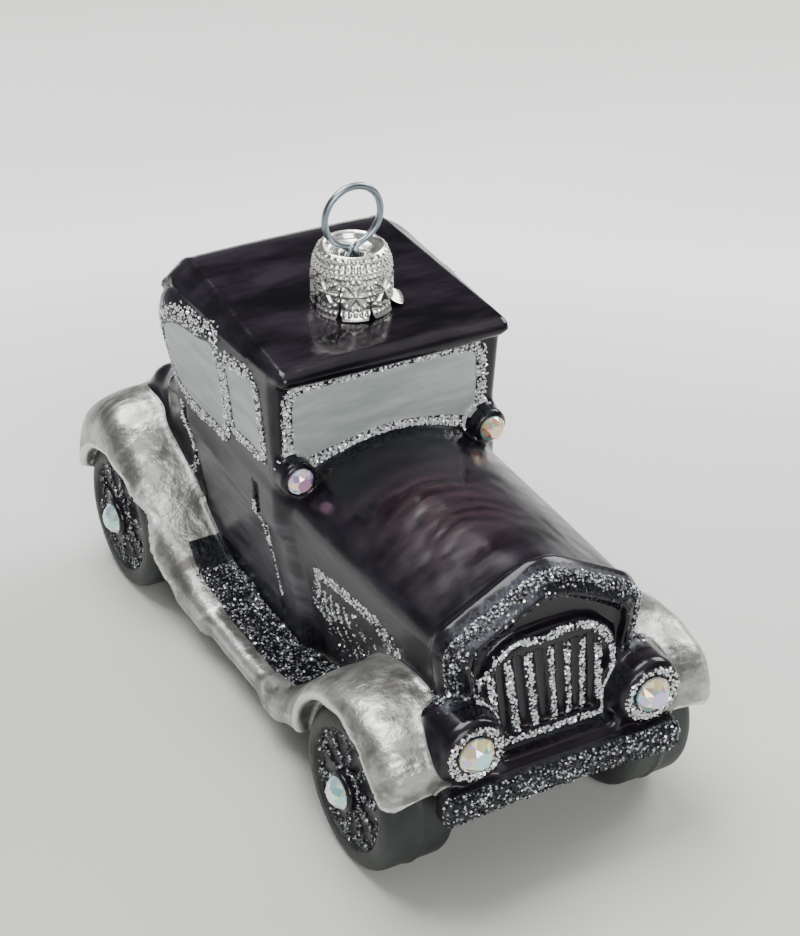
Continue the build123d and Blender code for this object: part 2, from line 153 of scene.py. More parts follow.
def rounded_disc(radial, along, radius, half, edge):
    """Distance to a round disc from its radial and axial coordinates, with rounded rims."""
    qr, qa = radial - radius + edge, np.abs(along) - half + edge
    return np.sqrt(np.maximum(qr, 0) ** 2 + np.maximum(qa, 0) ** 2) + np.minimum(np.maximum(qr, qa), 0) - edge


# the blown form

FRONT_FENDER = np.vstack([
    curve_through([
        (-49.3, 18.4), (-49.3, 21.8), (-47.8, 24.9), (-44.4, 27.0), (-39.6, 27.9), (-34.6, 27.6), (-29.8, 26.0),
        (-25.2, 23.0), (-20.6, 18.4), (-16.0, 13.8), (-11.5, 10.6), (-7.0, 8.8),
    ], 3),
    [(-7.0, 4.8), (-14.5, 5.6), (-19.5, 9.6), (-24.0, 13.0), (-48.0, 18.0)],
])
REAR_FENDER = np.vstack([
    curve_through([
        (51.2, 17.6), (50.9, 22.5), (48.6, 27.4), (44.0, 30.6), (38.9, 31.0), (33.9, 28.6), (29.4, 23.2),
        (26.0, 17.0), (22.4, 12.2), (18.0, 9.6), (13.0, 8.8),
    ], 3),
    [(13.0, 4.8), (20.5, 5.2), (25.0, 8.4), (27.5, 12.0), (49.0, 15.5)],
])
CABIN_SIDE = np.vstack([
    [(-3.0, 30.0), (-2.8, 56.0)],
    curve_through([(20.0, 57.2), (26.5, 57.4), (31.0, 55.2), (33.4, 50.5), (33.8, 44.0), (33.6, 36.0)], 3),
    [(33.0, 30.0)],
])
ROOF_SIDE = np.vstack([
    curve_through([
        (-3.6, 54.4), (-4.9, 55.0), (-5.3, 56.1), (-4.5, 57.0), (-2.4, 57.4), (6.0, 57.9), (16.0, 58.6), (24.0, 59.2),
        (28.4, 59.1), (31.2, 57.6), (33.0, 55.0), (33.6, 52.6),
    ], 3),
    [(31.5, 52.0), (28.0, 54.6), (10.0, 54.2), (-2.0, 54.2)],
])
TAIL_SIDE = np.vstack([
    curve_through([
        (30.0, 39.0), (35.0, 38.4), (40.0, 35.8), (45.6, 31.0), (49.2, 25.6), (50.0, 19.0), (49.6, 12.0),
    ], 3),
    [(30.0, 9.0)],
])
SIDE_WINDOW_REAR = curve_through([
    (11.7, 39.8), (17.0, 38.5), (24.0, 38.2), (28.4, 41.0), (29.6, 46.4), (27.6, 50.8), (23.0, 53.2), (17.0, 53.8),
    (11.8, 53.6),
], 4, closed=True)
SIDE_WINDOW_FRONT = curve_through([
    (0.6, 41.4), (5.0, 41.3), (9.5, 41.5), (10.0, 47.0), (9.9, 52.6), (6.0, 53.4), (2.0, 53.2), (1.0, 48.0),
], 4, closed=True)
WINDSCREEN = curve_through([
    (-15.0, 41.0), (-9.4, 41.8), (-3.0, 43.0), (2.0, 43.2), (8.4, 42.2), (13.8, 40.9), (15.0, 43.0), (15.0, 50.0),
    (14.0, 52.8), (8.0, 53.5), (-8.0, 53.6), (-14.8, 53.0), (-15.9, 51.0), (-15.7, 44.0),
], 4, closed=True)
REAR_WINDOW = curve_through([
    (-8.0, 41.6), (0.0, 41.2), (8.0, 41.6), (8.6, 45.0), (7.4, 48.6), (0.0, 49.2), (-7.4, 48.6), (-8.6, 45.0),
], 4, closed=True)
GRILLE_LOBE = curve_through([
    (-8.8, 20.0), (-10.2, 26.0), (-10.2, 32.0), (-6.6, 36.2), (0.0, 37.2), (6.6, 36.2), (10.2, 32.0), (10.2, 26.0),
    (8.8, 20.0), (0.0, 19.6),
], 4, closed=True)
GRILLE_OUTLINE = curve_through([
    (-8.6, 21.6), (-10.6, 26.6), (-11.0, 31.4), (-9.6, 34.6), (-6.4, 36.6), (-2.2, 35.9), (1.4, 36.4), (5.4, 35.9),
    (8.6, 32.6), (9.5, 28.8), (9.2, 21.4), (4.0, 20.9), (-4.0, 21.0),
], 4, closed=True)

# each bar's foot and top in the front view, bar by bar from the car's right
GRILLE_BARS = [
    ((-8.3, 26.6), (-9.4, 32.2)), ((-4.9, 22.4), (-7.0, 33.8)), ((-2.0, 22.2), (-4.0, 34.2)),
    ((1.0, 22.4), (-0.5, 34.0)), ((3.4, 22.6), (2.0, 34.2)), ((5.3, 22.8), (4.5, 33.8)), ((7.8, 23.4), (6.8, 32.8)),
]
# how far across the middle of each hollow between two bars lies, at its foot and top
GRILLE_GAPS = [
    ((a0 + b0) / 2, (a1 + b1) / 2)
    for ((a0, _), (a1, _)), ((b0, _), (b1, _)) in zip(GRILLE_BARS[:-1], GRILLE_BARS[1:])
]


def cabin_half(y, z):
    """Half width of the cabin, which swells towards its rear shoulders."""
    return ramp(z, 37, 54, 17.5, 0) + ramp(z, 37, 54, 0, 1) * ramp(y, -3, 27, 18.3, 21.2)


def cabin_field(x, y, z):
    """Cabin below its roof: the side outline carried across, its rear corners more rounded than its front ones."""
    side = polygon_distance(y, z, CABIN_SIDE)
    return smooth_max(side, x - cabin_half(y, z), ramp(y, 5, 30, 1.6, 7.0))


def roof_field(x, y, z):
    """Roof: thick and rounded, its rear shoulders broad, with a slightly sunk panel inside a soft ridge."""
    side = polygon_distance(y, z, ROOF_SIDE)
    dome = 0.5 * np.clip(1 - (x / 19) ** 2, 0, 1)
    ridge = x - ramp(y, -4, 28, 17.6, 15.6)
    ridge = 0.28 * np.exp(-((ridge / 0.8) ** 2)) - 0.5 * np.clip(ridge / 5.0, 0, 1)
    side = side - dome * 0.5 - ridge * (z > 55.5)
    return smooth_max(side, x - cabin_half(y, z) - 0.25, ramp(y, -4, 24, 2.4, 8.5))


def tub_field(x, y, z):
    """Tub under the doors, which narrows towards the running boards."""
    half = ramp(z, 8, 33, 12.4, 17.2) + ramp(z, 33, 37, 0.0, 0.4)
    f = smooth_max(x - half, z - 37.5, 1.5)
    f = smooth_max(f, 7.2 - z, 2.5)
    return smooth_max(f, np.maximum(-3.6 - y, y - 34.0), 2.0)


def peak(x, top, soft):
    """Height of a gable that falls by 0.6 a side, rounded over its middle."""
    return top + 0.6 * soft - 0.6 * np.sqrt(x * x + soft * soft)


def bonnet_top(x, y):
    """Height of the bonnet: an arch at the windscreen that turns into the radiator's gable at the nose."""
    arch = 42.8 - 6.6 * (np.abs(x) / 16.4) ** 2.2
    t = ramp(y, -42, -12, 0.0, 1.0)
    return arch * t + peak(x, 44.1, 3.8) * (1 - t)


def bonnet_field(x, y, z):
    """Bonnet: its top rolls over into flanks that draw in towards the nose and downwards."""
    half = ramp(z, 9, 36, 10.8, 0) + ramp(z, 9, 36, 0, 1) * ramp(y, -44, -3, 15.2, 16.7)
    f = smooth_max((z - bonnet_top(x, y)) * 0.9, x - half, 2.2)
    f = smooth_max(f, 9.0 - z, 2.0)
    return smooth_max(f, np.maximum(-45.0 - y, y + 1.0), 1.0)


def radiator_outline(x, z):
    """Distance in the front view to the surround's outline: the gable's slopes and the drawn-in flanks."""
    return smooth_max((z - peak(x, 45.3, 3.2)) * 0.857, x - ramp(z, 9, 37, 11.4, 15.8), 2.4)


def radiator_field(x, y, z):
    """Radiator surround: a broad bevel round a deep recess, with the grille's lobe standing in it."""
    outline = radiator_outline(x, z)
    shell = smooth_max(outline, np.abs(y + 44.0) - 2.4, 0.9)
    bevel = 0.8 * outline - 0.6 * (y + 46.2) + 2.0
    shell = smooth_max(shell, bevel, 0.8)
    shell = smooth_max(shell, 12.0 - z, 2.0)
    recess = smooth_max(outline + 3.5, y + 44.2, 0.8)
    recess = smooth_max(recess, 17.0 - z, 1.0)
    shell = smooth_max(shell, -recess, 0.7)
    lobe = smooth_max(polygon_distance(x, z, GRILLE_LOBE), np.abs(y + 44.0) - 3.0, 1.6)
    return smooth_min(shell, lobe, 0.8)


def apron_field(x, y, z):
    """Apron behind the front bumper, with a ridge under the grille."""
    f = rounded_box(x, y, z, (-12.5, -49.4, 12.4), (12.5, -42, 18.6), 1.6)
    ridge = rounded_box(x, y, z, (-9.8, -50.0, 17.6), (9.8, -44, 20.2), 0.9)
    return smooth_min(f, ridge, 0.8)


def tail_field(x, y, z):
    """Rounded tail, with a knob on each side."""
    f = smooth_max(polygon_distance(y, z, TAIL_SIDE), x - 16.4, 6.0)
    knob = np.sqrt((x - 13.6) ** 2 + (y - 41.0) ** 2 + (z - 31.6) ** 2) - 2.6
    return smooth_min(f, knob, 2.0)


def lamp_fields(x, y, z):
    """Headlamp pods, each with a dish for its stone, and the small pods beside the windscreen."""
    radial = np.hypot(x - HEADLAMP_X, z - HEADLAMP_Z)
    head = rounded_disc(radial, y + 47.2, 4.9, 3.9, 1.4)
    dish = rounded_disc(radial, y + 52.2, 3.6, 1.4, 0.5)
    head = smooth_max(head, -dish, 0.5)
    cowl = rounded_disc(np.hypot(x - COWL_LAMP_X, z - COWL_LAMP_Z), y + 3.9, 2.7, 2.0, 0.9)
    return head, cowl


def body_field(x, y, z):
    """The black glass: every form run into the last with a fillet, then the doors' seams pressed in."""
    f = cabin_field(x, y, z)
    for form, fillet in (
        (roof_field, 0.8), (tub_field, 1.5), (bonnet_field, 2.0), (radiator_field, 0.8), (tail_field, 2.5),
        (apron_field, 1.5),
    ):
        f = smooth_min(f, form(x, y, z), fillet)
    head, cowl = lamp_fields(x, y, z)
    f = smooth_min(f, head, 1.6)
    f = smooth_min(f, cowl, 1.2)
    neck = rounded_disc(np.hypot(x, y - NECK_Y), z - 58.0, 4.8, 6.4, 0.3)
    f = smooth_min(f, neck, 1.0)
    for seam_y in DOOR_SEAMS:
        groove = np.hypot(y - seam_y, x - ramp(z, 8, 36, 12.6, 17.6) - 0.35) - 0.75
        f = smooth_max(f, -np.maximum(groove, np.maximum(12.0 - z, z - 36.0)), 0.3)
    return f


def fender_field(x, y, z, outline, axle_y, outer, droop, mouth_r):
    """Wing: the side outline carried across, its crown falling away towards the outer edge."""
    fall = droop * np.clip((x - 16.0) / 10.0, 0, 1.2) ** 2.5
    f = polygon_distance(y, z + fall, outline)
    f = smooth_max(f, x - outer, 3.4)
    f = smooth_max(f, 9.0 - x, 1.0)
    mouth = smooth_max(np.hypot(y - axle_y, z - AXLE_Z) - mouth_r, 22.6 - x, 1.0)
    below = smooth_max(z - AXLE_Z, np.abs(y - axle_y) - mouth_r, 0.8)
    return smooth_max(smooth_max(f, -mouth, 0.9), -np.maximum(below, 22.6 - x), 0.8)


def silver_field(x, y, z):
    """Wings and running boards. The wings narrow in plan as they come down to the boards."""
    lumps = 0.07 * np.sin(0.55 * y + 0.5 * x) * np.sin(0.6 * z + 0.3 * y) + 0.04 * np.sin(1.1 * y - 0.8 * x + 0.5 * z)
    outer = np.where(y < 3, ramp(y, -25, -13, 26.2, 21.9), ramp(y, 20, 30, 21.9, 26.2))
    f = fender_field(x, y, z, FRONT_FENDER, FRONT_AXLE_Y, outer, 1.4, 12.7)
    f = smooth_min(f, fender_field(x, y, z, REAR_FENDER, REAR_AXLE_Y, outer, 2.6, 11.4), 0.5)
    board = rounded_box(x, y, z, (8, -12, 4.7), (21.9, 22, 8.6), 1.7)
    return smooth_min(f, board, 3.0) + lumps * ramp(z, 8, 14, 0.4, 1.0)


def spoke_distance(angle, radial):
    """How far round the wheel a point lies from the middle of the nearest spoke."""
    return np.abs((angle * SPOKES / (2 * np.pi)) % 1.0 - 0.5) * 2 * np.pi / SPOKES * radial


def tyre_field(x, y, z):
    """Wheels: a tyre with a moulding seam round its tread, a sunk disc, its spokes and a hub boss."""
    wheel_y = np.where(y < 0, FRONT_AXLE_Y, REAR_AXLE_Y)
    across, up = y - wheel_y, z - AXLE_Z
    radial = np.hypot(across, up)
    middle = (TYRE_IN + TYRE_OUT) / 2
    tread = TYRE_R + 0.25 * np.exp(-(((x - middle) / 0.5) ** 2)) - 0.25
    f = rounded_disc(radial - (tread - TYRE_R), x - middle, TYRE_R, (TYRE_OUT - TYRE_IN) / 2, 1.8)
    sunk = rounded_disc(radial, x - TYRE_OUT - 1.0, RIM_R, 1.0 + RIM_DEPTH, 0.5)
    f = smooth_max(f, -sunk, 0.6)
    sideways = spoke_distance(np.arctan2(up, across), radial)
    spoke = smooth_max(sideways - ramp(radial, 3, 8, 0.42, 0.62), radial - RIM_R, 0.3)
    spoke = smooth_max(spoke, np.abs(x - TYRE_OUT + 1.0) - 0.5, 0.4)
    f = smooth_min(f, spoke, 0.5)
    boss = rounded_disc(radial, x - TYRE_OUT + 0.6, 2.9, 1.6, 0.6)
    f = smooth_min(f, boss, 0.5)
    return smooth_max(f, -z, 0.3)


def bumper_field(x, y, z):
    """Front and rear bumpers, the front one slightly bowed."""
    front = rounded_box(x, y + 0.002 * x * x, z, (-18.4, -51.7, 14.2), (18.4, -48.0, 18.9), 1.3)
    rear = rounded_box(x, y, z, (-18.2, 49.0, 14.2), (18.2, 51.9, 18.9), 1.3)
    return np.minimum(front, rear)


def grille_grooves(x, y, z):
    """Distance to the upright hollows between the grille's bars."""
    best = np.full(np.shape(x), FAR)
    height = (z - 22.0) / 11.5
    for x0, x1 in GRILLE_GAPS:
        middle = x0 + (x1 - x0) * height
        best = np.minimum(best, np.hypot(x - middle, y + 47.3) - 0.95)
    return np.maximum(best, np.abs(z - 28.2) - 6.2)


def glass_parts(p):
    """Distances to the black, silver, tyre and bumper lobes at points (n, 3); the form is the same on both sides."""
    x, y, z = np.abs(p[:, 0]), p[:, 1], p[:, 2]
    black = body_field(x, y, z)
    front = y < -44.5
    black[front] = smooth_max(black[front], -grille_grooves(p[front, 0], y[front], z[front]), 0.3)
    return black, silver_field(x, y, z), tyre_field(x, y, z), bumper_field(x, y, z)


def glass_field(p):
    """Distance to the whole glass, its lobes run together where they touch."""
    black, silver, tyre, bumper = glass_parts(p)
    f = smooth_min(black, silver, 1.6)
    f = smooth_min(f, tyre, 0.5)
    return smooth_min(f, bumper, 0.8)


def slope(p, step=0.04):
    """Gradient of the glass's distance by central differences."""
    g = np.empty_like(p)
    for axis in range(3):
        d = np.zeros(3)
        d[axis] = step
        g[:, axis] = (glass_field(p + d) - glass_field(p - d)) / (2 * step)
    return g


def settle(p, rounds=3):
    """Moves points onto the glass along its slope, and gives them with their outward normals."""
    for _ in range(rounds):
        g = slope(p)
        p = p - (glass_field(p) / np.maximum((g * g).sum(1), 0.2))[:, None] * g
    g = slope(p)
    return p, g / np.maximum(np.linalg.norm(g, axis=1), 1e-9)[:, None]


def bend_of(p, step=0.5):
    """How sharply the glass bends outwards at points, in 1/mm: its distance's second derivatives added up."""
    total = -6.0 * glass_field(p)
    for axis in range(3):
        d = np.zeros(3)
        d[axis] = step
        total += glass_field(p + d) + glass_field(p - d)
    return total / step**2


def surface_net(low, high, step):
    """Closed surface where the glass's distance is nought: one vertex in each grid cell that it crosses, at the
    mean of the crossings on the cell's edges, and one quad round each grid edge that it crosses."""
    axes = [np.arange(a, b + step, step) for a, b in zip(low, high)]
    shape = tuple(len(a) for a in axes)
    values = np.empty(shape, np.float32)
    yy, zz = np.meshgrid(axes[1], axes[2], indexing="ij")
    for i in range(0, shape[0], 8):
        xs = axes[0][i:i + 8]
        p = np.stack([
            np.repeat(xs, yy.size), np.tile(yy.ravel(), len(xs)), np.tile(zz.ravel(), len(xs)),
        ], 1)
        values[i:i + 8] = glass_field(p).reshape(len(xs), *yy.shape)
    inside = values < 0
    cells = tuple(n - 1 for n in shape)
    total = np.zeros(cells + (3,), np.float32)
    count = np.zeros(cells, np.float32)

    def corner(array, o):
        return array[o[0]:o[0] + cells[0], o[1]:o[1] + cells[1], o[2]:o[2] + cells[2]]

    for axis in range(3):
        for a in (0, 1):
            for b in (0, 1):
                o = [0, 0, 0]
                o[(axis + 1) % 3], o[(axis + 2) % 3] = a, b
                e = list(o)
                e[axis] = 1
                v0, v1 = corner(values, o), corner(values, e)
                crossed = (v0 < 0) != (v1 < 0)
                t = np.where(crossed, v0 / np.where(crossed, v0 - v1, 1), 0)
                for k in range(3):
                    total[..., k] += np.where(crossed, (t if k == axis else o[k]), 0)
                count += crossed
    active = count > 0
    number = np.full(cells, -1, np.int64)
    number[active] = np.arange(active.sum())
    base = np.argwhere(active)
    vertices = np.asarray(low) + (base + total[active] / count[active][:, None]) * step
    faces = []
    for axis in range(3):
        a, b = (axis + 1) % 3, (axis + 2) % 3
        here = [slice(1, -1)] * 3
        here[axis] = slice(0, -1)
        there = [slice(1, -1)] * 3
        there[axis] = slice(1, None)
        first, second = inside[tuple(here)], inside[tuple(there)]
        at = np.argwhere(first != second)
        outward = first[tuple(at.T)]
        at = at + np.array([0 if k == axis else 1 for k in range(3)])
        quad = []
        for da, db in ((-1, -1), (0, -1), (0, 0), (-1, 0)):
            c = at.copy()
            c[:, a] += da
            c[:, b] += db
            quad.append(number[tuple(c.T)])
        quad = np.stack(quad, 1)
        quad[~outward] = quad[~outward][:, ::-1]
        faces.append(quad)
    return vertices, np.vstack(faces)


def blow_glass(material):
    """The glass as lacquered pieces, split where the lacquers meet, with their painted zones as attributes."""
    vertices, quads = surface_net((-27.3, -52.7, -0.9), (27.3, 52.9, 66.0), NET_STEP)
    vertices, normals = settle(vertices)
    black, silver, tyre, bumper = glass_parts(vertices)
    bend = bend_of(vertices)
    middle = vertices[quads].mean(1)
    b, s, t, m = glass_parts(middle)
    least = np.minimum(np.minimum(b, s), np.minimum(t, m))
    side, nose = middle[:, 0] > 0, middle[:, 1] < 0
    groups = {}
    for name, left in (("left", side), ("right", ~side)):
        groups[f"fenders_{name}"] = (s == least) & left
        for axle, ahead in (("front", nose), ("rear", ~nose)):
            groups[f"tyre_{axle}_{name}"] = (t == least) & left & ahead
    groups["front_bumper_glass"] = (m == least) & nose
    groups["rear_bumper_glass"] = (m == least) & ~nose
    groups["body_glass"] = b == least
    made = {}
    for name, chosen in groups.items():
        used, faces = np.unique(quads[chosen], return_inverse=True)
        obj = new_object(name, vertices[used], faces.reshape(-1, 4), material)
        obj.data.normals_split_custom_set_from_vertices(normals[used].tolist())
        p = vertices[used]
        for attribute, values in (
            ("silver", (np.minimum(np.minimum(black, tyre), bumper) - silver)[used]),
            ("tyre", np.minimum(np.minimum(black, silver)[used] - tyre[used], rim_distance(p))),
            ("pane", -window_distance(p)),
            ("glue", -glue_distance(p, (black < silver)[used])),
            # glass facing sideways, for the painted shade of the flanks
            ("flank", np.abs(normals[used][:, 0]) - 0.6),
            # the silver's bright edges follow how sharply the glass bends outwards: partly leaf rubbed thin, partly a
            # painted highlight on every convex edge
            ("wear_and_highlight", bend[used]),
            # door panels: satin lacquer, lighter partly from brushing and partly as a painted reflection of the pale
            # cloth
            ("satin_and_reflection", -satin_and_reflection_distance(p)),
            ("ripple", 8.0 - np.hypot(p[:, 0] + 3.0, (p[:, 1] + 25.0) * 0.8) - 9.0 * (p[:, 2] < 36)),
        ):
            set_attribute(obj, attribute, "POINT", values)
        made[name] = obj
    return made


def rim_distance(p):
    """Distance outwards from the wheels' rims, which are black inside."""
    wheel_y = np.where(p[:, 1] < 0, FRONT_AXLE_Y, REAR_AXLE_Y)
    inside = np.hypot(p[:, 1] - wheel_y, p[:, 2] - AXLE_Z) - RIM_R + 0.3
    return np.where(np.abs(p[:, 0]) > 20, inside, FAR)


def satin_and_reflection_distance(p):
    """Distance to the panels of the doors, whose lacquer was brushed thin; their lighter tone is partly that and
    partly a painted reflection of the pale cloth.
    """
    x, y, z = p.T
    door = np.maximum(np.abs(y - 14.3) - 10.6, np.abs(z - 23.0) - 9.4)
    cowl = np.maximum(np.abs(y + 2.0) - 2.8, np.abs(z - 24.0) - 9.0)
    return np.where((np.abs(x) > 10) & (np.abs(x) < 19), np.minimum(door, cowl), FAR)


def window_distance(p):
    """Distance in its own plane to the nearest painted window, negative on the glass of one."""
    x, y, z = p.T
    sides = np.minimum(polygon_distance(y, z, SIDE_WINDOW_REAR), polygon_distance(y, z, SIDE_WINDOW_FRONT))
    sides = np.where((np.abs(x) > 14) & (y > 0), sides, FAR)
    screen = np.where((y < -1.4) & (y > -3.9) & (z > 38), polygon_distance(x, z, WINDSCREEN), FAR)
    back = np.where(y > 30, polygon_distance(x, z, REAR_WINDOW), FAR)
    return np.minimum(np.minimum(sides, screen), back)


# materials


def linear(hex_colour):
    """Scene-linear RGBA of an sRGB hex colour."""
    c = np.array([int(hex_colour[i:i + 2], 16) for i in (1, 3, 5)]) / 255
    c = np.where(c <= 0.04045, c / 12.92, ((c + 0.055) / 1.055) ** 2.4)
    return (*c.tolist(), 1.0)


def add_node(material, kind, links=None, **settings):
    """Adds a node with its properties and its sockets, each by name or index: a constant, or an output to link."""
    tree = material.node_tree
    node = tree.nodes.new(kind)
    for key, value in settings.items():
        setattr(node, key, value)
    for key, value in (links or {}).items():
        if isinstance(value, bpy.types.NodeSocket):
            tree.links.new(value, node.inputs[key])
        else:
            node.inputs[key].default_value = value
    return node


def new_material(name):
    material = bpy.data.materials.new(name)
    material.use_nodes = True
    material.node_tree.nodes.clear()
    return material


def finish_surface(material, shader):
    add_node(material, "ShaderNodeOutputMaterial", {"Surface": shader.outputs[0]})


def set_stops(ramp_node, stops):
    """Gives a colour ramp its stops, each a place from 0 to 1 and a colour."""
    elements = ramp_node.color_ramp.elements
    while len(elements) < len(stops):
        elements.new(0.5)
    for element, (place, colour) in zip(elements, stops):
        element.position = place
        element.color = colour


# zone attribute, its middle and softness
ZONES = (
    ("silver", 0.1, 0.12), ("tyre", 0.0, 0.1), ("pane", 0.0, 0.15), ("glue", 0.0, 0.12), ("satin_and_reflection", 0.0, 1.2),
    ("ripple", 0.0, 5.0), ("wear_and_highlight", 0.55, 0.35), ("flank", 0.0, 0.25),
)
# pattern: noise scale per metre, detail, stretch, and the span of its values that is used
PATTERNS_OF_PAINT = (
    ("cloud", 80.0, 3.0, (1.0, 1.0, 1.0), 0.35, 0.7),
    ("stroke", 150.0, 4.0, (1.0, 1.0, 4.5), 0.36, 0.68),
    ("cross", 240.0, 4.0, (0.3, 1.0, 0.3), 0.38, 0.66),
    ("leaf", 230.0, 5.0, (1.0, 1.0, 1.0), 0.42, 0.6),
    ("fleck", 1300.0, 2.0, (1.0, 1.0, 1.0), 0.6, 0.72),
    ("grain", 650.0, 3.0, (1.0, 1.0, 1.0), 0.0, 1.0),
    ("wave", 125.0, 2.0, (1.0, 0.5, 1.0), 0.0, 1.0),
)
# lacquer laid over the last: zone, pattern between two colours, roughness, metallic
LACQUERS = (
    # painted shade on the flanks: glass facing sideways gets its own tone, set by which way it faces
    ("flank", "stroke", "#0c0a10", "#242028", 0.30, 0.0),
    # door panels: their lighter tone is partly a painted reflection of the pale cloth
    ("satin_and_reflection", "stroke", "#2c282f", "#4d4951", 0.34, 0.0),
    ("tyre", "cloud", "#1f2221", "#393c3a", 0.50, 0.0),
    ("silver", "leaf", "#7c7b76", "#aaaba6", 0.38, 0.85),
    ("pane", "stroke", "#99a29f", "#b2bab7", 0.42, 0.12),
    # adhesive with fine glitter: its sparkle painted as glints, a chance brightness for each tiny cell
    ("glue", "fine_glitter_glint", "#0b0c10", "#3c3e44", 0.35, 0.7),
)


def blown_glass_lacquer():
    """Blown glass, lacquered by hand: gloss black over aubergine with brush marks, door panels in satin lacquer
    lightened by a painted reflection of the pale cloth, leafed silver rubbed bright on its edges with a painted
    highlight on every convex bend, pearl grey windows, matt tyres, and dark adhesive full of fine glitter between
    the large flakes, its sparkle painted as glints. The zones come from the glass's own attributes, so their edges
    follow the mouldings."""
    m = new_material("blown_glass_lacquer")
    place = add_node(m, "ShaderNodeTexCoord").outputs["Object"]
    zone, pattern = {}, {}
    for name, middle, soft in ZONES:
        value = add_node(m, "ShaderNodeAttribute", attribute_name=name).outputs["Fac"]
        zone[name] = add_node(m, "ShaderNodeMapRange", {
            "Value": value, "From Min": middle - soft, "From Max": middle + soft,
        }, interpolation_type="SMOOTHSTEP").outputs["Result"]
    for name, scale, detail, stretch, low, high in PATTERNS_OF_PAINT:
        at = add_node(m, "ShaderNodeMapping", {"Vector": place, "Scale": stretch}).outputs[0]
        value = add_node(m, "ShaderNodeTexNoise", {
            "Vector": at, "Scale": scale, "Detail": detail, "Roughness": 0.55,
        }).outputs["Fac"]
        pattern[name] = add_node(m, "ShaderNodeMapRange", {
            "Value": value, "From Min": low, "From Max": high,
        }).outputs["Result"]
    # painted glints of fine glitter: a chance brightness for each tiny cell
    pattern["fine_glitter_glint"] = add_node(m, "ShaderNodeTexVoronoi", {"Vector": place, "Scale": 3000.0}).outputs["Color"]

    # wavy mauve-brown rings on the bonnet, about 2 mm apart
    centre = add_node(m, "ShaderNodeMapping", {"Vector": place, "Location": (0.004, 0.034, 0.0)}).outputs[0]
    rings = add_node(m, "ShaderNodeTexWave", {
        "Vector": centre, "Scale": 110.0, "Distortion": 9.0, "Detail": 3.0, "Detail Scale": 0.9,
    }, wave_type="RINGS", rings_direction="Z").outputs["Fac"]
    rings = add_node(m, "ShaderNodeMath", {0: rings, 1: 0.5, 2: 0.3}, operation="MULTIPLY_ADD").outputs[0]
    rings = add_node(m, "ShaderNodeMath", {0: rings, 1: zone["ripple"]}, operation="MULTIPLY").outputs[0]
    black = add_node(m, "ShaderNodeMix", {
        0: pattern["cross"], 6: linear("#09070c"), 7: linear("#1f1921"),
    }, data_type="RGBA").outputs[2]
    colour = add_node(m, "ShaderNodeMix", {0: rings, 6: black, 7: linear("#35282d")}, data_type="RGBA").outputs[2]
    rough = add_node(m, "ShaderNodeMapRange", {
        "Value": pattern["cross"], "To Min": 0.09, "To Max": 0.26,
    }).outputs["Result"]
    metal = 0.0
    for name, between, dark, light, lacquer_rough, lacquer_metal in LACQUERS:
        own = add_node(m, "ShaderNodeMix", {
            0: pattern[between], 6: linear(dark), 7: linear(light),
        }, data_type="RGBA").outputs[2]
        if name == "silver":
            fleck = add_node(m, "ShaderNodeMath", {0: pattern["fleck"], 1: 0.4}, operation="MULTIPLY").outputs[0]
            own = add_node(m, "ShaderNodeMix", {0: fleck, 6: own, 7: linear("#6b6862")}, data_type="RGBA").outputs[2]
            # bright edges on convex bends: rubbed leaf, and a painted highlight
            own = add_node(m, "ShaderNodeMix", {
                0: zone["wear_and_highlight"], 6: own, 7: linear("#d6d8d5"),
            }, data_type="RGBA").outputs[2]
        colour = add_node(m, "ShaderNodeMix", {0: zone[name], 6: colour, 7: own}, data_type="RGBA").outputs[2]
        rough = add_node(m, "ShaderNodeMix", {0: zone[name], 2: rough, 3: lacquer_rough}).outputs[0]
        metal = add_node(m, "ShaderNodeMix", {0: zone[name], 2: metal, 3: lacquer_metal}).outputs[0]

    # blown waves everywhere, fine leaf wrinkles on the silver, ripples on the bonnet
    height = pattern["wave"]
    for name, share in (("grain", 0.35), ("leaf", 0.22)):
        relief = add_node(m, "ShaderNodeMath", {0: pattern[name], 1: zone["silver"]}, operation="MULTIPLY").outputs[0]
        height = add_node(m, "ShaderNodeMath", {0: relief, 1: share, 2: height}, operation="MULTIPLY_ADD").outputs[0]
    height = add_node(m, "ShaderNodeMath", {0: rings, 1: 0.08, 2: height}, operation="MULTIPLY_ADD").outputs[0]
    bump = add_node(m, "ShaderNodeBump", {"Height": height, "Strength": 0.6, "Distance": 0.0006}).outputs[0]
    shader = add_node(m, "ShaderNodeBsdfPrincipled", {
        "Base Color": colour, "Roughness": rough, "Metallic": metal, "Normal": bump, "IOR": 1.4,
    })
    finish_surface(m, shader)
    return m


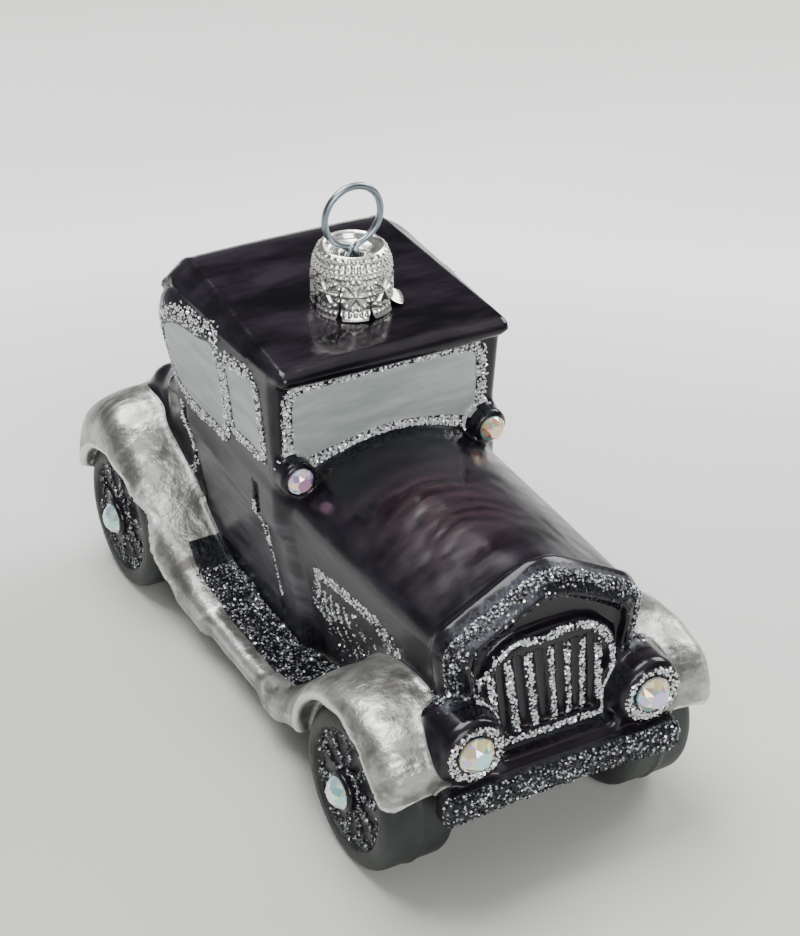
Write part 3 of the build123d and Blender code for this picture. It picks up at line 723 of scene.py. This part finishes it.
def glitter_flake(name, tint, dark, contrast):
    """Holographic polyester glitter: tiny mirror flakes, each with its own tilt, and with a chance tint and
    brightness painted into its colour as a painted glint, standing for the sparkle and rainbow flash of a tilted
    flake.
    """
    m = new_material(name)
    own = add_node(m, "ShaderNodeAttribute", attribute_name="flake").outputs["Fac"]
    # painted rainbow flash: a chance hue for each flake
    painted_flash_hue = add_node(m, "ShaderNodeCombineColor", {"Red": own, "Green": 0.22, "Blue": 1.0}, mode="HSV").outputs[0]
    # painted glint: a chance brightness for each flake, raised to a power so that most stay dark and a few shine
    shade = add_node(m, "ShaderNodeMath", {0: own, 1: 7.31}, operation="MULTIPLY").outputs[0]
    shade = add_node(m, "ShaderNodeMath", {0: shade}, operation="FRACT").outputs[0]
    shade = add_node(m, "ShaderNodeMath", {0: shade, 1: contrast}, operation="POWER").outputs[0]
    colour = add_node(m, "ShaderNodeMix", {0: shade, 6: linear(dark), 7: linear(tint)}, data_type="RGBA").outputs[2]
    colour = add_node(m, "ShaderNodeMix", {
        0: 0.5, 6: colour, 7: painted_flash_hue,
    }, data_type="RGBA", blend_type="MULTIPLY").outputs[2]
    shader = add_node(m, "ShaderNodeBsdfPrincipled", {"Base Color": colour, "Metallic": 0.5, "Roughness": 0.25})
    finish_surface(m, shader)
    return m


# glitter

# flakes to the square millimetre on lines and on patches, and how many are thrown on each wheel
LINE_DENSITY, PATCH_DENSITY, WHEEL_FLAKES = 15.0, 9.0, 2600
# least and greatest width of a flake, mm, and the spread of its lean
FLAKE_WIDTH, FLAKE_TILT = (0.26, 0.42), 0.45


def scatter_flakes(name, points, normals, material):
    """Hexagonal flakes at points on the glass, each turned about its normal by chance and tilted a little."""
    n = len(points)
    lean = normals + chance.normal(0, FLAKE_TILT, (n, 3))
    lean /= np.linalg.norm(lean, axis=1)[:, None]
    any_way = chance.normal(0, 1, (n, 3))
    u = np.cross(lean, any_way)
    u /= np.linalg.norm(u, axis=1)[:, None]
    v = np.cross(lean, u)
    radius = chance.uniform(*FLAKE_WIDTH, n) / 2
    turn = np.arange(6) * np.pi / 3
    ring = np.cos(turn)[None, :, None] * u[:, None, :] + np.sin(turn)[None, :, None] * v[:, None, :]
    lift = chance.uniform(0.02, 0.2, n)
    corners = points[:, None, :] + normals[:, None, :] * lift[:, None, None] + ring * radius[:, None, None]
    faces = np.arange(n * 6).reshape(n, 6)
    obj = new_object(name, corners.reshape(-1, 3), faces, material, smooth=False)
    set_attribute(obj, "flake", "POINT", np.repeat(chance.random(n), 6))
    return obj


def along_line(line, spacing, closed=False):
    """Points at even spacing along a polyline."""
    p = np.asarray(line, float)
    if closed:
        p = np.vstack([p, p[:1]])
    length = np.concatenate([[0], np.cumsum(np.linalg.norm(np.diff(p, axis=0), axis=1))])
    at = np.linspace(0, length[-1], max(2, int(length[-1] / spacing)), endpoint=not closed)
    return np.stack([np.interp(at, length, p[:, k]) for k in range(p.shape[1])], 1)


def pattern_points(lines, width, space):
    """Chance points within half a width of flat lines (each points, closed), carried onto the glass."""
    chosen = []
    for line, closed in lines:
        middle = along_line(line, 0.1, closed)
        length = 0.1 * len(middle)
        n = int(length * width * LINE_DENSITY)
        pick = middle[chance.integers(0, len(middle), n)]
        radius = width / 2 * np.sqrt(chance.random(n))
        angle = chance.uniform(0, 2 * np.pi, n)
        chosen.append(pick + np.stack([radius * np.cos(angle), radius * np.sin(angle)], 1))
    flat = np.vstack(chosen)
    points, outward = settle(onto_space(space, flat))
    x, y, z = np.abs(points[:, 0]), points[:, 1], points[:, 2]
    keep = body_field(x, y, z) < silver_field(x, y, z)
    return points[keep], outward[keep]


def onto_space(space, q):
    """Points in the space that flat points lie in: on a flank, on a level, or in front of the nose or tail."""
    kind, place = space
    if kind == "side":
        return np.stack([np.full(len(q), place * 17.8), q[:, 0], q[:, 1]], 1)
    if kind == "top":
        return np.stack([q[:, 0], q[:, 1], np.full(len(q), place)], 1)
    return np.stack([q[:, 0], np.full(len(q), place), q[:, 1]], 1)


def circle_line(u, v, radius):
    """Corners of a closed ring of 24 sides."""
    a = np.arange(24) * 2 * np.pi / 24
    return np.stack([u + radius * np.cos(a), v + radius * np.sin(a)], 1)


# louvre on the bonnet's side, as (y, z): its edge, the band under the edge, and its bars from the cabin forwards
LOUVRE_EDGE = [
    (-37.6, 27.8), (-37.2, 29.4), (-31.6, 30.0), (-24.7, 29.6), (-17.5, 28.8), (-9.4, 27.2), (-9.2, 22.6),
    (-9.8, 17.6),
]
LOUVRE_BAND = [(-36.6, 28.6), (-31.6, 29.2), (-24.7, 28.7), (-17.5, 27.9), (-10.0, 26.4)]
LOUVRE_BARS = [
    ((-10.9, 23.6), (-10.5, 14.8)), ((-12.6, 24.0), (-12.6, 15.8)), ((-14.6, 24.4), (-14.9, 17.2)),
    ((-17.0, 24.9), (-17.2, 18.6)), ((-19.8, 25.5), (-20.4, 20.4)), ((-23.0, 26.3), (-23.6, 22.2)),
    ((-27.0, 27.0), (-27.4, 23.8)), ((-30.6, 27.4), (-31.2, 25.6)),
]
RADIATOR_LINE = curve_through([
    (-13.5, 24.5), (-14.3, 30.5), (-14.3, 35.0), (-12.6, 37.9), (-6.8, 41.3), (-2.0, 43.6), (1.6, 43.6), (6.8, 41.3),
    (12.6, 37.9), (14.3, 35.0), (14.3, 30.5), (13.5, 24.5),
], 4)

# name: flat lines, width, space (which flat coordinates and where they lie), CAD nodes that it stands for
PATTERNS = {
    "windscreen_glitter": ([(WINDSCREEN, True)], 1.95, ("front", -3.0), ["windscreen_frame", "windscreen"]),
    "rear_window_glitter": ([(REAR_WINDOW, True)], 1.3, ("back", 33.8), ["rear_window_frame", "rear_window"]),
    "radiator_glitter": ([(RADIATOR_LINE, False)], 3.7, ("front", -44.6), ["radiator_band"]),
    "grille_glitter": (
        [(GRILLE_OUTLINE, True)] + [(bar, False) for bar in GRILLE_BARS], 1.15, ("front", -47.0), ["grille"],
    ),
}
for word, sign in (("left", 1), ("right", -1)):
    PATTERNS[f"side_window_glitter_{word}"] = (
        [(SIDE_WINDOW_REAR, True), (SIDE_WINDOW_FRONT, True)], 1.8, ("side", sign),
        [f"side_window_frame_{word}", f"front_side_window_{word}", f"rear_side_window_{word}"],
    )
    PATTERNS[f"door_glitter_{word}"] = (
        [([(4.0, 32.5), (2.3, 15.5)], False), ([(27.2, 36.5), (27.0, 24.0), (26.4, 17.0)], False)],
        1.0, ("side", sign), [f"front_door_line_{word}", f"rear_door_line_{word}"],
    )
    PATTERNS[f"louvre_glitter_{word}"] = (
        [(line, False) for line in (LOUVRE_EDGE, LOUVRE_BAND, *LOUVRE_BARS)], 1.2, ("side", sign),
        [f"louvre_{word}"],
    )
    PATTERNS[f"headlamp_glitter_{word}"] = (
        [(circle_line(sign * HEADLAMP_X, HEADLAMP_Z, 3.6), True)], 1.3, ("front", -51.0), [f"headlamp_ring_{word}"],
    )

# name: middle and half-size of a flat patch, space, CAD nodes
PATCHES = {
    "front_bumper_glitter": ((0.0, 16.6), (18.0, 2.3), ("front", -51.4), []),
    "rear_bumper_glitter": ((0.0, 16.6), (17.8, 2.3), ("back", 51.8), []),
    "board_glitter_left": ((15.3, 11.5), (3.7, 24.0), ("top", 8.6), ["board_glitter_left"]),
    "board_glitter_right": ((-15.3, 11.5), (3.7, 24.0), ("top", 8.6), ["board_glitter_right"]),
}


def flat_of(p, space, black):
    """The flat coordinates that a pattern is drawn in, and which points of the glass it can lie on."""
    kind, place = space
    x, y, z = p.T
    if kind == "side":
        return y, z, (x * place > 9.0) & (z > 12) & black
    if kind == "top":
        return x, y, (z > 6) & (z < 14) & (np.abs(x) > 11)
    if kind == "back":
        return x, z, y > place - 4.0
    return x, z, (y < place + 1.7) & (y > place - 3.0)


def glue_distance(p, black):
    """Distance to the nearest glittered line or patch, negative on one. Lines on the sides keep to black glass."""
    best = np.full(len(p), FAR)
    for lines, width, space, _ in PATTERNS.values():
        u, v, near = flat_of(p, space, black)
        if not near.any():
            continue
        for line, closed in lines:
            d = np.full(len(p), FAR)
            d[near] = line_distance(u[near], v[near], line, closed) - width * 0.45
            best = np.minimum(best, d)
    for (cu, cv), (hu, hv), space, _ in PATCHES.values():
        u, v, near = flat_of(p, space, black)
        d = np.maximum(np.abs(u - cu) - hu, np.abs(v - cv) - hv)
        best = np.minimum(best, np.where(near, d, FAR))
    return best


def lay_glitter(silver, charcoal):
    """Flakes on every line and patch, and on the spokes, rims and hubs of the wheels."""
    for name, (lines, width, space, nodes) in PATTERNS.items():
        points, normals = pattern_points(lines, width, space)
        dark = name.startswith("radiator")
        obj = scatter_flakes(name, points, normals, charcoal if dark else silver)
        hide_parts(*nodes)
    for name, ((cu, cv), (hu, hv), space, nodes) in PATCHES.items():
        n = int(hu * hv * 4 * PATCH_DENSITY)
        flat = np.stack([cu + chance.uniform(-hu, hu, n), cv + chance.uniform(-hv, hv, n)], 1)
        points, normals = settle(onto_space(space, flat))
        obj = scatter_flakes(name, points, normals, charcoal)
        if nodes:
            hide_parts(*nodes)
    for axle, y in (("front", FRONT_AXLE_Y), ("rear", REAR_AXLE_Y)):
        for word, sign in (("left", 1), ("right", -1)):
            n = WHEEL_FLAKES
            radius = 8.3 * np.sqrt(chance.random(n))
            angle = chance.uniform(0, 2 * np.pi, n)
            keep = (spoke_distance(angle, radius) < 0.62) | (radius > 7.2) | (radius < 3.6)
            keep &= radius > 2.4
            radius, angle = radius[keep], angle[keep]
            across, up = y + radius * np.cos(angle), AXLE_Z + radius * np.sin(angle)
            points, normals = settle(np.stack([np.full(len(radius), sign * (TYRE_OUT - 0.5)), across, up], 1))
            obj = scatter_flakes(f"wheel_glitter_flakes_{axle}_{word}", points, normals, charcoal)
            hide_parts(f"wheel_glitter_{axle}_{word}")


# stones

# tints of each stone: its own colour, with one chance tint on each facet as a painted reflection of the flashes its
# cut facets throw
CREAM = ["#f7ecb0", "#b9e3e4", "#d3c3ea", "#fffbe8", "#f3e6c0", "#f1cfae", "#fff6c8", "#a9dbe6"]
ROSE = ["#eebfd2", "#c3acdf", "#f5e0a8", "#fbeef4", "#dfa6cc", "#c6dcee", "#f4d2df", "#b9a2dc"]
EMBER = ["#f09a7c", "#f5c3ae", "#bdebd6", "#df7474", "#fae0bd", "#a4dccf", "#f2b28e", "#f7e8a8"]
MINT = ["#d8f4ea", "#a3dde2", "#f6f5dc", "#ffffff", "#bce9d0", "#e4f2fa", "#cfe0f4", "#b2e6dc"]


def faceted_stone(name, centre, facing, width, palette, node):
    """Flat-backed stone: a girdle of 16 sides, then 8 corners turned half a facet, and a table of 8."""
    r, h = width / 2, width * 0.34
    rings = []
    for count, radius, height, turn in (
        (16, r, 0.0, 0), (16, r, h * 0.22, 0), (8, r * 0.80, h * 0.68, 0.5), (8, r * 0.52, h, 0),
    ):
        a = (np.arange(count) + turn) * 2 * np.pi / count
        rings.append(np.stack([radius * np.cos(a), radius * np.sin(a), np.full(count, height)], 1))
    local = np.vstack(rings)
    faces = [[i, (i + 1) % 16, 16 + (i + 1) % 16, 16 + i] for i in range(16)]
    for k in range(8):
        a, b, c = 16 + 2 * k, 16 + (2 * k + 1) % 16, 16 + (2 * k + 2) % 16
        mid, nxt = 32 + k, 32 + (k + 1) % 8
        table, table_next = 40 + k, 40 + (k + 1) % 8
        faces += [[a, b, mid], [b, c, mid], [c, nxt, table_next, mid], [table, mid, table_next]]
    faces.append(list(range(40, 48)))
    faces.append(list(range(15, -1, -1)))
    turn = Vector(facing).to_track_quat("Z", "Y").to_matrix()
    placed = local @ np.array(turn).T + np.asarray(centre)
    obj = new_object(name, placed, faces, stone_tint_and_painted_flashes(name, palette), smooth=False)
    set_attribute(obj, "facet", "FACE", chance.random(len(faces)))
    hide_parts(node)


def stone_tint_and_painted_flashes(name, palette):
    """Cut glass, foiled behind and coated in vapour. Each facet takes one chance tint of the stone's palette: the
    stone's own colour, with the flashes of its facets as painted reflections.
    """
    m = new_material(name)
    # painted reflections: a chance tint from the palette for each facet
    facet = add_node(m, "ShaderNodeAttribute", attribute_name="facet").outputs["Fac"]
    band = add_node(m, "ShaderNodeValToRGB", {"Fac": facet})
    band.color_ramp.interpolation = "CONSTANT"
    set_stops(band, [(i / len(palette), linear(tint)) for i, tint in enumerate(palette)])
    shader = add_node(m, "ShaderNodeBsdfPrincipled", {
        "Base Color": band.outputs[0], "Metallic": 0.55, "Roughness": 0.08, "Coat Weight": 0.8,
        "Coat Roughness": 0.02,
    })
    finish_surface(m, shader)
    return m


# cap and hanger

RING_RADIUS, RING_CENTRE_Z, RING_LEG_OFFSET, LEG_FOOT_Z, WIRE_RADIUS = 4.45, 71.3, 1.5, 59.5, 0.5

# how far each petal's tip is bent out, mm
PETAL_FLARE = (0.3, 0.2, 0.35, 0.2, 0.3, 0.7, 0.5, 1.7)


def crown_cap(material):
    """Stamped cap: a profile from the middle of its dish over the bead and down eight petals, turned round the
    neck. Each petal narrows in its own angle towards its tip, and a six-armed star is pressed into it."""
    profile = curve_through([
        (1.5, 63.8), (1.7, 65.5), (2.6, 65.8), (3.4, 66.1), (3.8, 66.8), (4.3, 67.1), (4.75, 66.7), (5.0, 66.0),
        (5.35, 65.2), (5.5, 64.3),
    ], 7)
    skirt = np.stack([np.linspace(5.5, 5.62, 62), np.linspace(64.2, 57.9, 62)], 1)
    profile = np.vstack([profile, skirt])
    z = profile[:, 1]
    across = np.linspace(-1, 1, 41)
    vertices, faces, start = [], [], 0
    for n in range(8):
        centre = (n + 0.5) * 2 * np.pi / 8
        depth = np.clip((63.0 - z) / 5.1, 0, 1)
        narrow = np.where(z > 63.0, 1.0, 0.965 - 0.22 * depth**5)
        a = centre + across[None, :] * narrow[:, None] * np.pi / 8
        flare = PETAL_FLARE[n] * np.clip((59.6 - z) / 1.7, 0, 1) ** 1.6
        r = np.broadcast_to(profile[:, :1] + flare[:, None], a.shape).copy()
        zz = np.broadcast_to(z[:, None] + 0.35 * flare[:, None], a.shape)
        u, v = (a - centre) * 5.5, zz - 61.7
        turned = np.arctan2(v, u)
        arm = np.abs(((turned / (np.pi / 3)) % 1.0) - 0.5)
        reach = np.hypot(u, v)
        star = np.exp(-((0.5 - arm) * np.pi / 3 * reach / 0.2) ** 2) * (reach < 1.7)
        dots = np.exp(-(((reach - 2.1) / 0.24) ** 2)) * (0.5 + 0.5 * np.cos(turned * 14))
        rows = sum(
            np.exp(-(((zz - level) / 0.26) ** 2)) * (0.5 + 0.5 * np.cos(a * count))
            for level, count in ((66.5, 28), (65.7, 40), (65.0, 40), (64.3, 48), (58.9, 48))
        )
        r += np.where(profile[:, :1] > 4.2, 0.34 * star + 0.3 * dots + 0.26 * rows, 0)
        vertices.append(np.stack([r * np.cos(a), NECK_Y + r * np.sin(a), zz], -1).reshape(-1, 3))
        faces.append(grid_faces(*a.shape) + start)
        start += a.size
    obj = new_object("stamped_cap", np.vstack(vertices), np.vstack(faces), material, body="cap")
    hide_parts("crown_cap")


def stamped_tinplate():
    """Bright tinned steel foil, stamped thin, so it mirrors with soft dents."""
    m = new_material("stamped_tinplate")
    place = add_node(m, "ShaderNodeTexCoord").outputs["Object"]
    dents = add_node(m, "ShaderNodeTexNoise", {"Vector": place, "Scale": 900.0, "Detail": 2.0}).outputs["Fac"]
    bump = add_node(m, "ShaderNodeBump", {"Height": dents, "Strength": 0.35, "Distance": 0.0002}).outputs[0]
    shader = add_node(m, "ShaderNodeBsdfPrincipled", {
        "Base Color": linear("#f0eee8"), "Metallic": 1.0, "Roughness": 0.24, "Normal": bump,
    })
    finish_surface(m, shader)
    return m


def drawn_steel():
    """Drawn spring wire: grey steel with faint marks along it."""
    m = new_material("drawn_steel_wire")
    place = add_node(m, "ShaderNodeTexCoord").outputs["Object"]
    marks = add_node(m, "ShaderNodeTexNoise", {"Vector": place, "Scale": 1500.0, "Detail": 3.0}).outputs["Fac"]
    rough = add_node(m, "ShaderNodeMapRange", {"Value": marks, "To Min": 0.22, "To Max": 0.42}).outputs["Result"]
    shader = add_node(m, "ShaderNodeBsdfPrincipled", {
        "Base Color": linear("#8d979f"), "Metallic": 1.0, "Roughness": rough,
    })
    finish_surface(m, shader)
    return m


def tube_along(points, radius, sides):
    """Round tube whose section is carried along a path in the plane y = 0 without twist."""
    p = np.asarray(points, float)
    t = np.gradient(p, axis=0)
    t /= np.linalg.norm(t, axis=1)[:, None]
    across = np.tile([0.0, 1.0, 0.0], (len(p), 1))
    up = np.cross(t, across)
    a = np.arange(sides) * 2 * np.pi / sides
    ring = np.cos(a)[None, :, None] * across[:, None, :] + np.sin(a)[None, :, None] * up[:, None, :]
    return p[:, None, :] + radius * ring


def hanger_wire(material):
    """Ring of spring wire on the neck's axis, its ends bent down into the neck on a radius of 1 mm."""
    reach, offset = RING_RADIUS + 1.0, RING_LEG_OFFSET
    centre_z, radius = RING_CENTRE_Z, RING_RADIUS
    drop = math.sqrt(reach**2 - offset**2)
    splay = math.radians(15)
    bend_z = centre_z - drop
    start = (offset - math.cos(splay), bend_z - math.sin(splay))
    leg = np.array([(start[0] + (start[1] - LEG_FOOT_Z) * math.tan(splay), LEG_FOOT_Z), start])
    leg = along_line(leg, 0.4)
    to_join = math.atan2(drop, -offset)
    a = np.linspace(math.pi + splay, to_join, 10)[1:]
    bend = np.stack([offset + np.cos(a), bend_z + np.sin(a)], 1)
    b0 = math.atan2(-drop, offset)
    b = np.linspace(b0, math.pi - b0, 120)[1:]
    ring = np.stack([radius * np.cos(b), centre_z + radius * np.sin(b)], 1)
    half = np.vstack([leg, bend])
    path = np.vstack([half, ring[:-1], (half * [-1, 1])[::-1]])
    path = np.stack([path[:, 0], np.zeros(len(path)), path[:, 1]], 1)
    rings = tube_along(path, WIRE_RADIUS, 16)
    turn = math.radians(2)
    c, s = math.cos(turn), math.sin(turn)
    x, y, z = rings[..., 0] * c - rings[..., 1] * s, rings[..., 0] * s + rings[..., 1] * c + NECK_Y, rings[..., 2]
    n, m = x.shape
    vertices = np.stack([x, y, z], -1).reshape(-1, 3)
    faces = grid_faces(n, m, closed=True).tolist()
    faces += [list(range(m)), list(range(n * m - 1, (n - 1) * m - 1, -1))]
    obj = new_object("hanger_ring_wire", vertices, faces, material, body="cap")
    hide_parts("hanger_wire")


# stage


# where along the cloth, from the near end, and its painted light there: a bright band behind the ornament, duller
# cloth nearer and farther
CLOTH_PAINTED_LIGHT = (
    (0.08, "#bbbcb8"), (0.24, "#c2c3be"), (0.38, "#d4d6d3"), (0.50, "#f2f4f3"), (0.62, "#dddeda"), (0.78, "#cccdc8"),
    (1.0, "#c8c9c5"),
)
# sine of the elevation, mapped from 0 to 1, and how bright the room is there
ROOM_SHADES = ((0.0, 0.34), (0.22, 0.22), (0.45, 0.10), (0.68, 0.14), (0.86, 0.85), (1.0, 1.0))
# name, place in metres, width in metres and power in watts of each area light, all aimed at the ornament
AREA_LIGHTS = (
    ("overhead", (-0.10, 0.25, 0.80), 0.55, 10.5),
    ("window", (0.60, 0.15, 0.45), 0.40, 5.0),
    ("fill", (-0.20, -0.80, 0.45), 0.50, 6.5),
)
LIT_POINT = (0, 0, 0.02)
# the camera's place in millimetres, its three angles, and its lens and sensor in millimetres
CAMERA_AT = (-138.59, -242.71, 210.75)
CAMERA_AZIMUTH, CAMERA_ELEVATION, CAMERA_ROLL = (math.radians(a) for a in (-30.41, 32.15, 1.69))
CAMERA_LENS, CAMERA_SENSOR = 88.63, 36.0


def pale_cloth():
    """Plain pale satin cloth, smooth, with a fine weave. Its tone is painted light: a bright band across it behind
    the ornament, duller towards its near and far ends, and wide soft folds that show only as bands of light.
    """
    m = new_material("pale_cloth")
    place = add_node(m, "ShaderNodeTexCoord").outputs["Object"]
    turned = add_node(m, "ShaderNodeMapping", {
        "Vector": place, "Rotation": (0, 0, math.radians(30)), "Scale": (0.35, 1.0, 1.0),
    }).outputs[0]
    bands = add_node(m, "ShaderNodeTexNoise", {"Vector": turned, "Scale": 7.0, "Detail": 1.0}).outputs["Fac"]
    bands = add_node(m, "ShaderNodeMapRange", {"Value": bands, "From Min": 0.35, "From Max": 0.65}).outputs["Result"]
    weave = add_node(m, "ShaderNodeTexNoise", {"Vector": place, "Scale": 1400.0, "Detail": 2.0}).outputs["Fac"]
    # painted light: the cloth's tone follows how far along the view each point lies, brightest in a band behind the
    # ornament
    away = add_node(m, "ShaderNodeVectorMath", {
        0: place, 1: (0.506, 0.862, 0.0),
    }, operation="DOT_PRODUCT").outputs["Value"]
    away = add_node(m, "ShaderNodeMath", {0: bands, 1: 0.05, 2: away}, operation="MULTIPLY_ADD").outputs[0]
    span = add_node(m, "ShaderNodeMapRange", {"Value": away, "From Min": -0.10, "From Max": 0.40}).outputs["Result"]
    painted_light_tones = add_node(m, "ShaderNodeValToRGB", {"Fac": span})
    set_stops(painted_light_tones, [(distance, linear(tone)) for distance, tone in CLOTH_PAINTED_LIGHT])
    bump = add_node(m, "ShaderNodeBump", {"Height": weave, "Strength": 0.12, "Distance": 0.0003}).outputs[0]
    shader = add_node(m, "ShaderNodeBsdfPrincipled", {
        "Base Color": painted_light_tones.outputs[0], "Roughness": 0.8, "Normal": bump,
    })
    finish_surface(m, shader)
    return m


def studio():
    """Seamless cloth that rises behind the ornament, a camera at the photograph's angle and soft light above."""
    y = np.linspace(-500, 1100, 60)
    z = 0.00025 * np.clip(y - 500, 0, None) ** 2
    x = np.linspace(-900, 900, 15)
    xx, yy = np.meshgrid(x, y)
    zz = np.repeat(z[:, None], len(x), 1)
    turn = math.radians(-30.4)
    px, py = xx * math.cos(turn) - yy * math.sin(turn), xx * math.sin(turn) + yy * math.cos(turn)
    vertices = np.stack([px, py, zz], -1).reshape(-1, 3)
    new_object("cloth_sweep", vertices, grid_faces(*xx.shape), pale_cloth(), body=None)

    camera_data = bpy.data.cameras.new("camera")
    camera_data.lens, camera_data.sensor_width = CAMERA_LENS, CAMERA_SENSOR
    camera_data.clip_start, camera_data.clip_end = 0.01, 10
    camera = bpy.data.objects.new("camera", camera_data)
    bpy.context.scene.collection.objects.link(camera)
    bpy.context.scene.camera = camera
    right = Vector((math.cos(CAMERA_AZIMUTH), math.sin(CAMERA_AZIMUTH), 0))
    level = math.cos(CAMERA_ELEVATION)
    back = Vector((
        math.sin(CAMERA_AZIMUTH) * level, -math.cos(CAMERA_AZIMUTH) * level, math.sin(CAMERA_ELEVATION),
    ))
    up = back.cross(right)
    c, s = math.cos(CAMERA_ROLL), math.sin(CAMERA_ROLL)
    facing = Matrix((right * c + up * s, up * c - right * s, back)).transposed().to_4x4()
    camera.matrix_world = Matrix.Translation(Vector(CAMERA_AT) * METRES) @ facing

    # the room: pale walls near the floor, a dim band above them and a bright ceiling
    world = bpy.data.worlds.new("studio")
    bpy.context.scene.world = world
    world.use_nodes = True
    toward = add_node(world, "ShaderNodeTexCoord").outputs["Generated"]
    up = add_node(world, "ShaderNodeSeparateXYZ", {"Vector": toward}).outputs["Z"]
    room = add_node(world, "ShaderNodeValToRGB", {"Fac": up})
    set_stops(room, [(height, (shade * 0.98, shade, shade * 1.02, 1)) for height, shade in ROOM_SHADES])
    background = world.node_tree.nodes["Background"]
    world.node_tree.links.new(room.outputs[0], background.inputs["Color"])
    background.inputs["Strength"].default_value = 1.0
    for name, place, size, power in AREA_LIGHTS:
        data = bpy.data.lights.new(name, "AREA")
        data.energy, data.size = power, size
        lamp = bpy.data.objects.new(name, data)
        bpy.context.scene.collection.objects.link(lamp)
        lamp.location = place
        lamp.rotation_euler = (Vector(place) - Vector(LIT_POINT)).to_track_quat("Z", "Y").to_euler()


# assembly

lacquer = blown_glass_lacquer()
glass = blow_glass(lacquer)
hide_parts("body_shell", "headlamp_left", "headlamp_right", "cowl_lamp_left", "cowl_lamp_right")
for word in ("left", "right"):
    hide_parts(f"front_fender_{word}", f"rear_fender_{word}", f"running_board_{word}")
    for axle in ("front", "rear"):
        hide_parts(f"tyre_{axle}_{word}")
for name in ("front_bumper", "rear_bumper"):
    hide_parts(name)

lay_glitter(
    glitter_flake("silver_glitter_flake", "#ffffff", "#c4c6ca", 0.5),
    glitter_flake("charcoal_glitter_flake", "#f2f4fa", "#131418", 2.5),
)

for word, sign in (("left", 1), ("right", -1)):
    for kind, end, centre, facing, width, palette, tone in (
        ("headlamp", word, (sign * HEADLAMP_X, -50.9, HEADLAMP_Z), (0, -1, 0), 5.2, CREAM, "yellow"),
        ("cowl", word, (sign * COWL_LAMP_X, -5.9, COWL_LAMP_Z), (0, -1, 0), 3.9, EMBER if sign > 0 else ROSE, "rose"),
        ("hub", f"front_{word}", (sign * 25.0, FRONT_AXLE_Y, AXLE_Z), (sign, 0, 0), 4.7, MINT, "mint"),
        ("hub", f"rear_{word}", (sign * 25.0, REAR_AXLE_Y, AXLE_Z), (sign, 0, 0), 4.7, MINT, "mint"),
    ):
        faceted_stone(
            f"{kind}_cut_stone_{end}", centre, facing, width, palette, f"{kind}_stone_{end}",
        )

crown_cap(stamped_tinplate())
hanger_wire(drawn_steel())
studio()
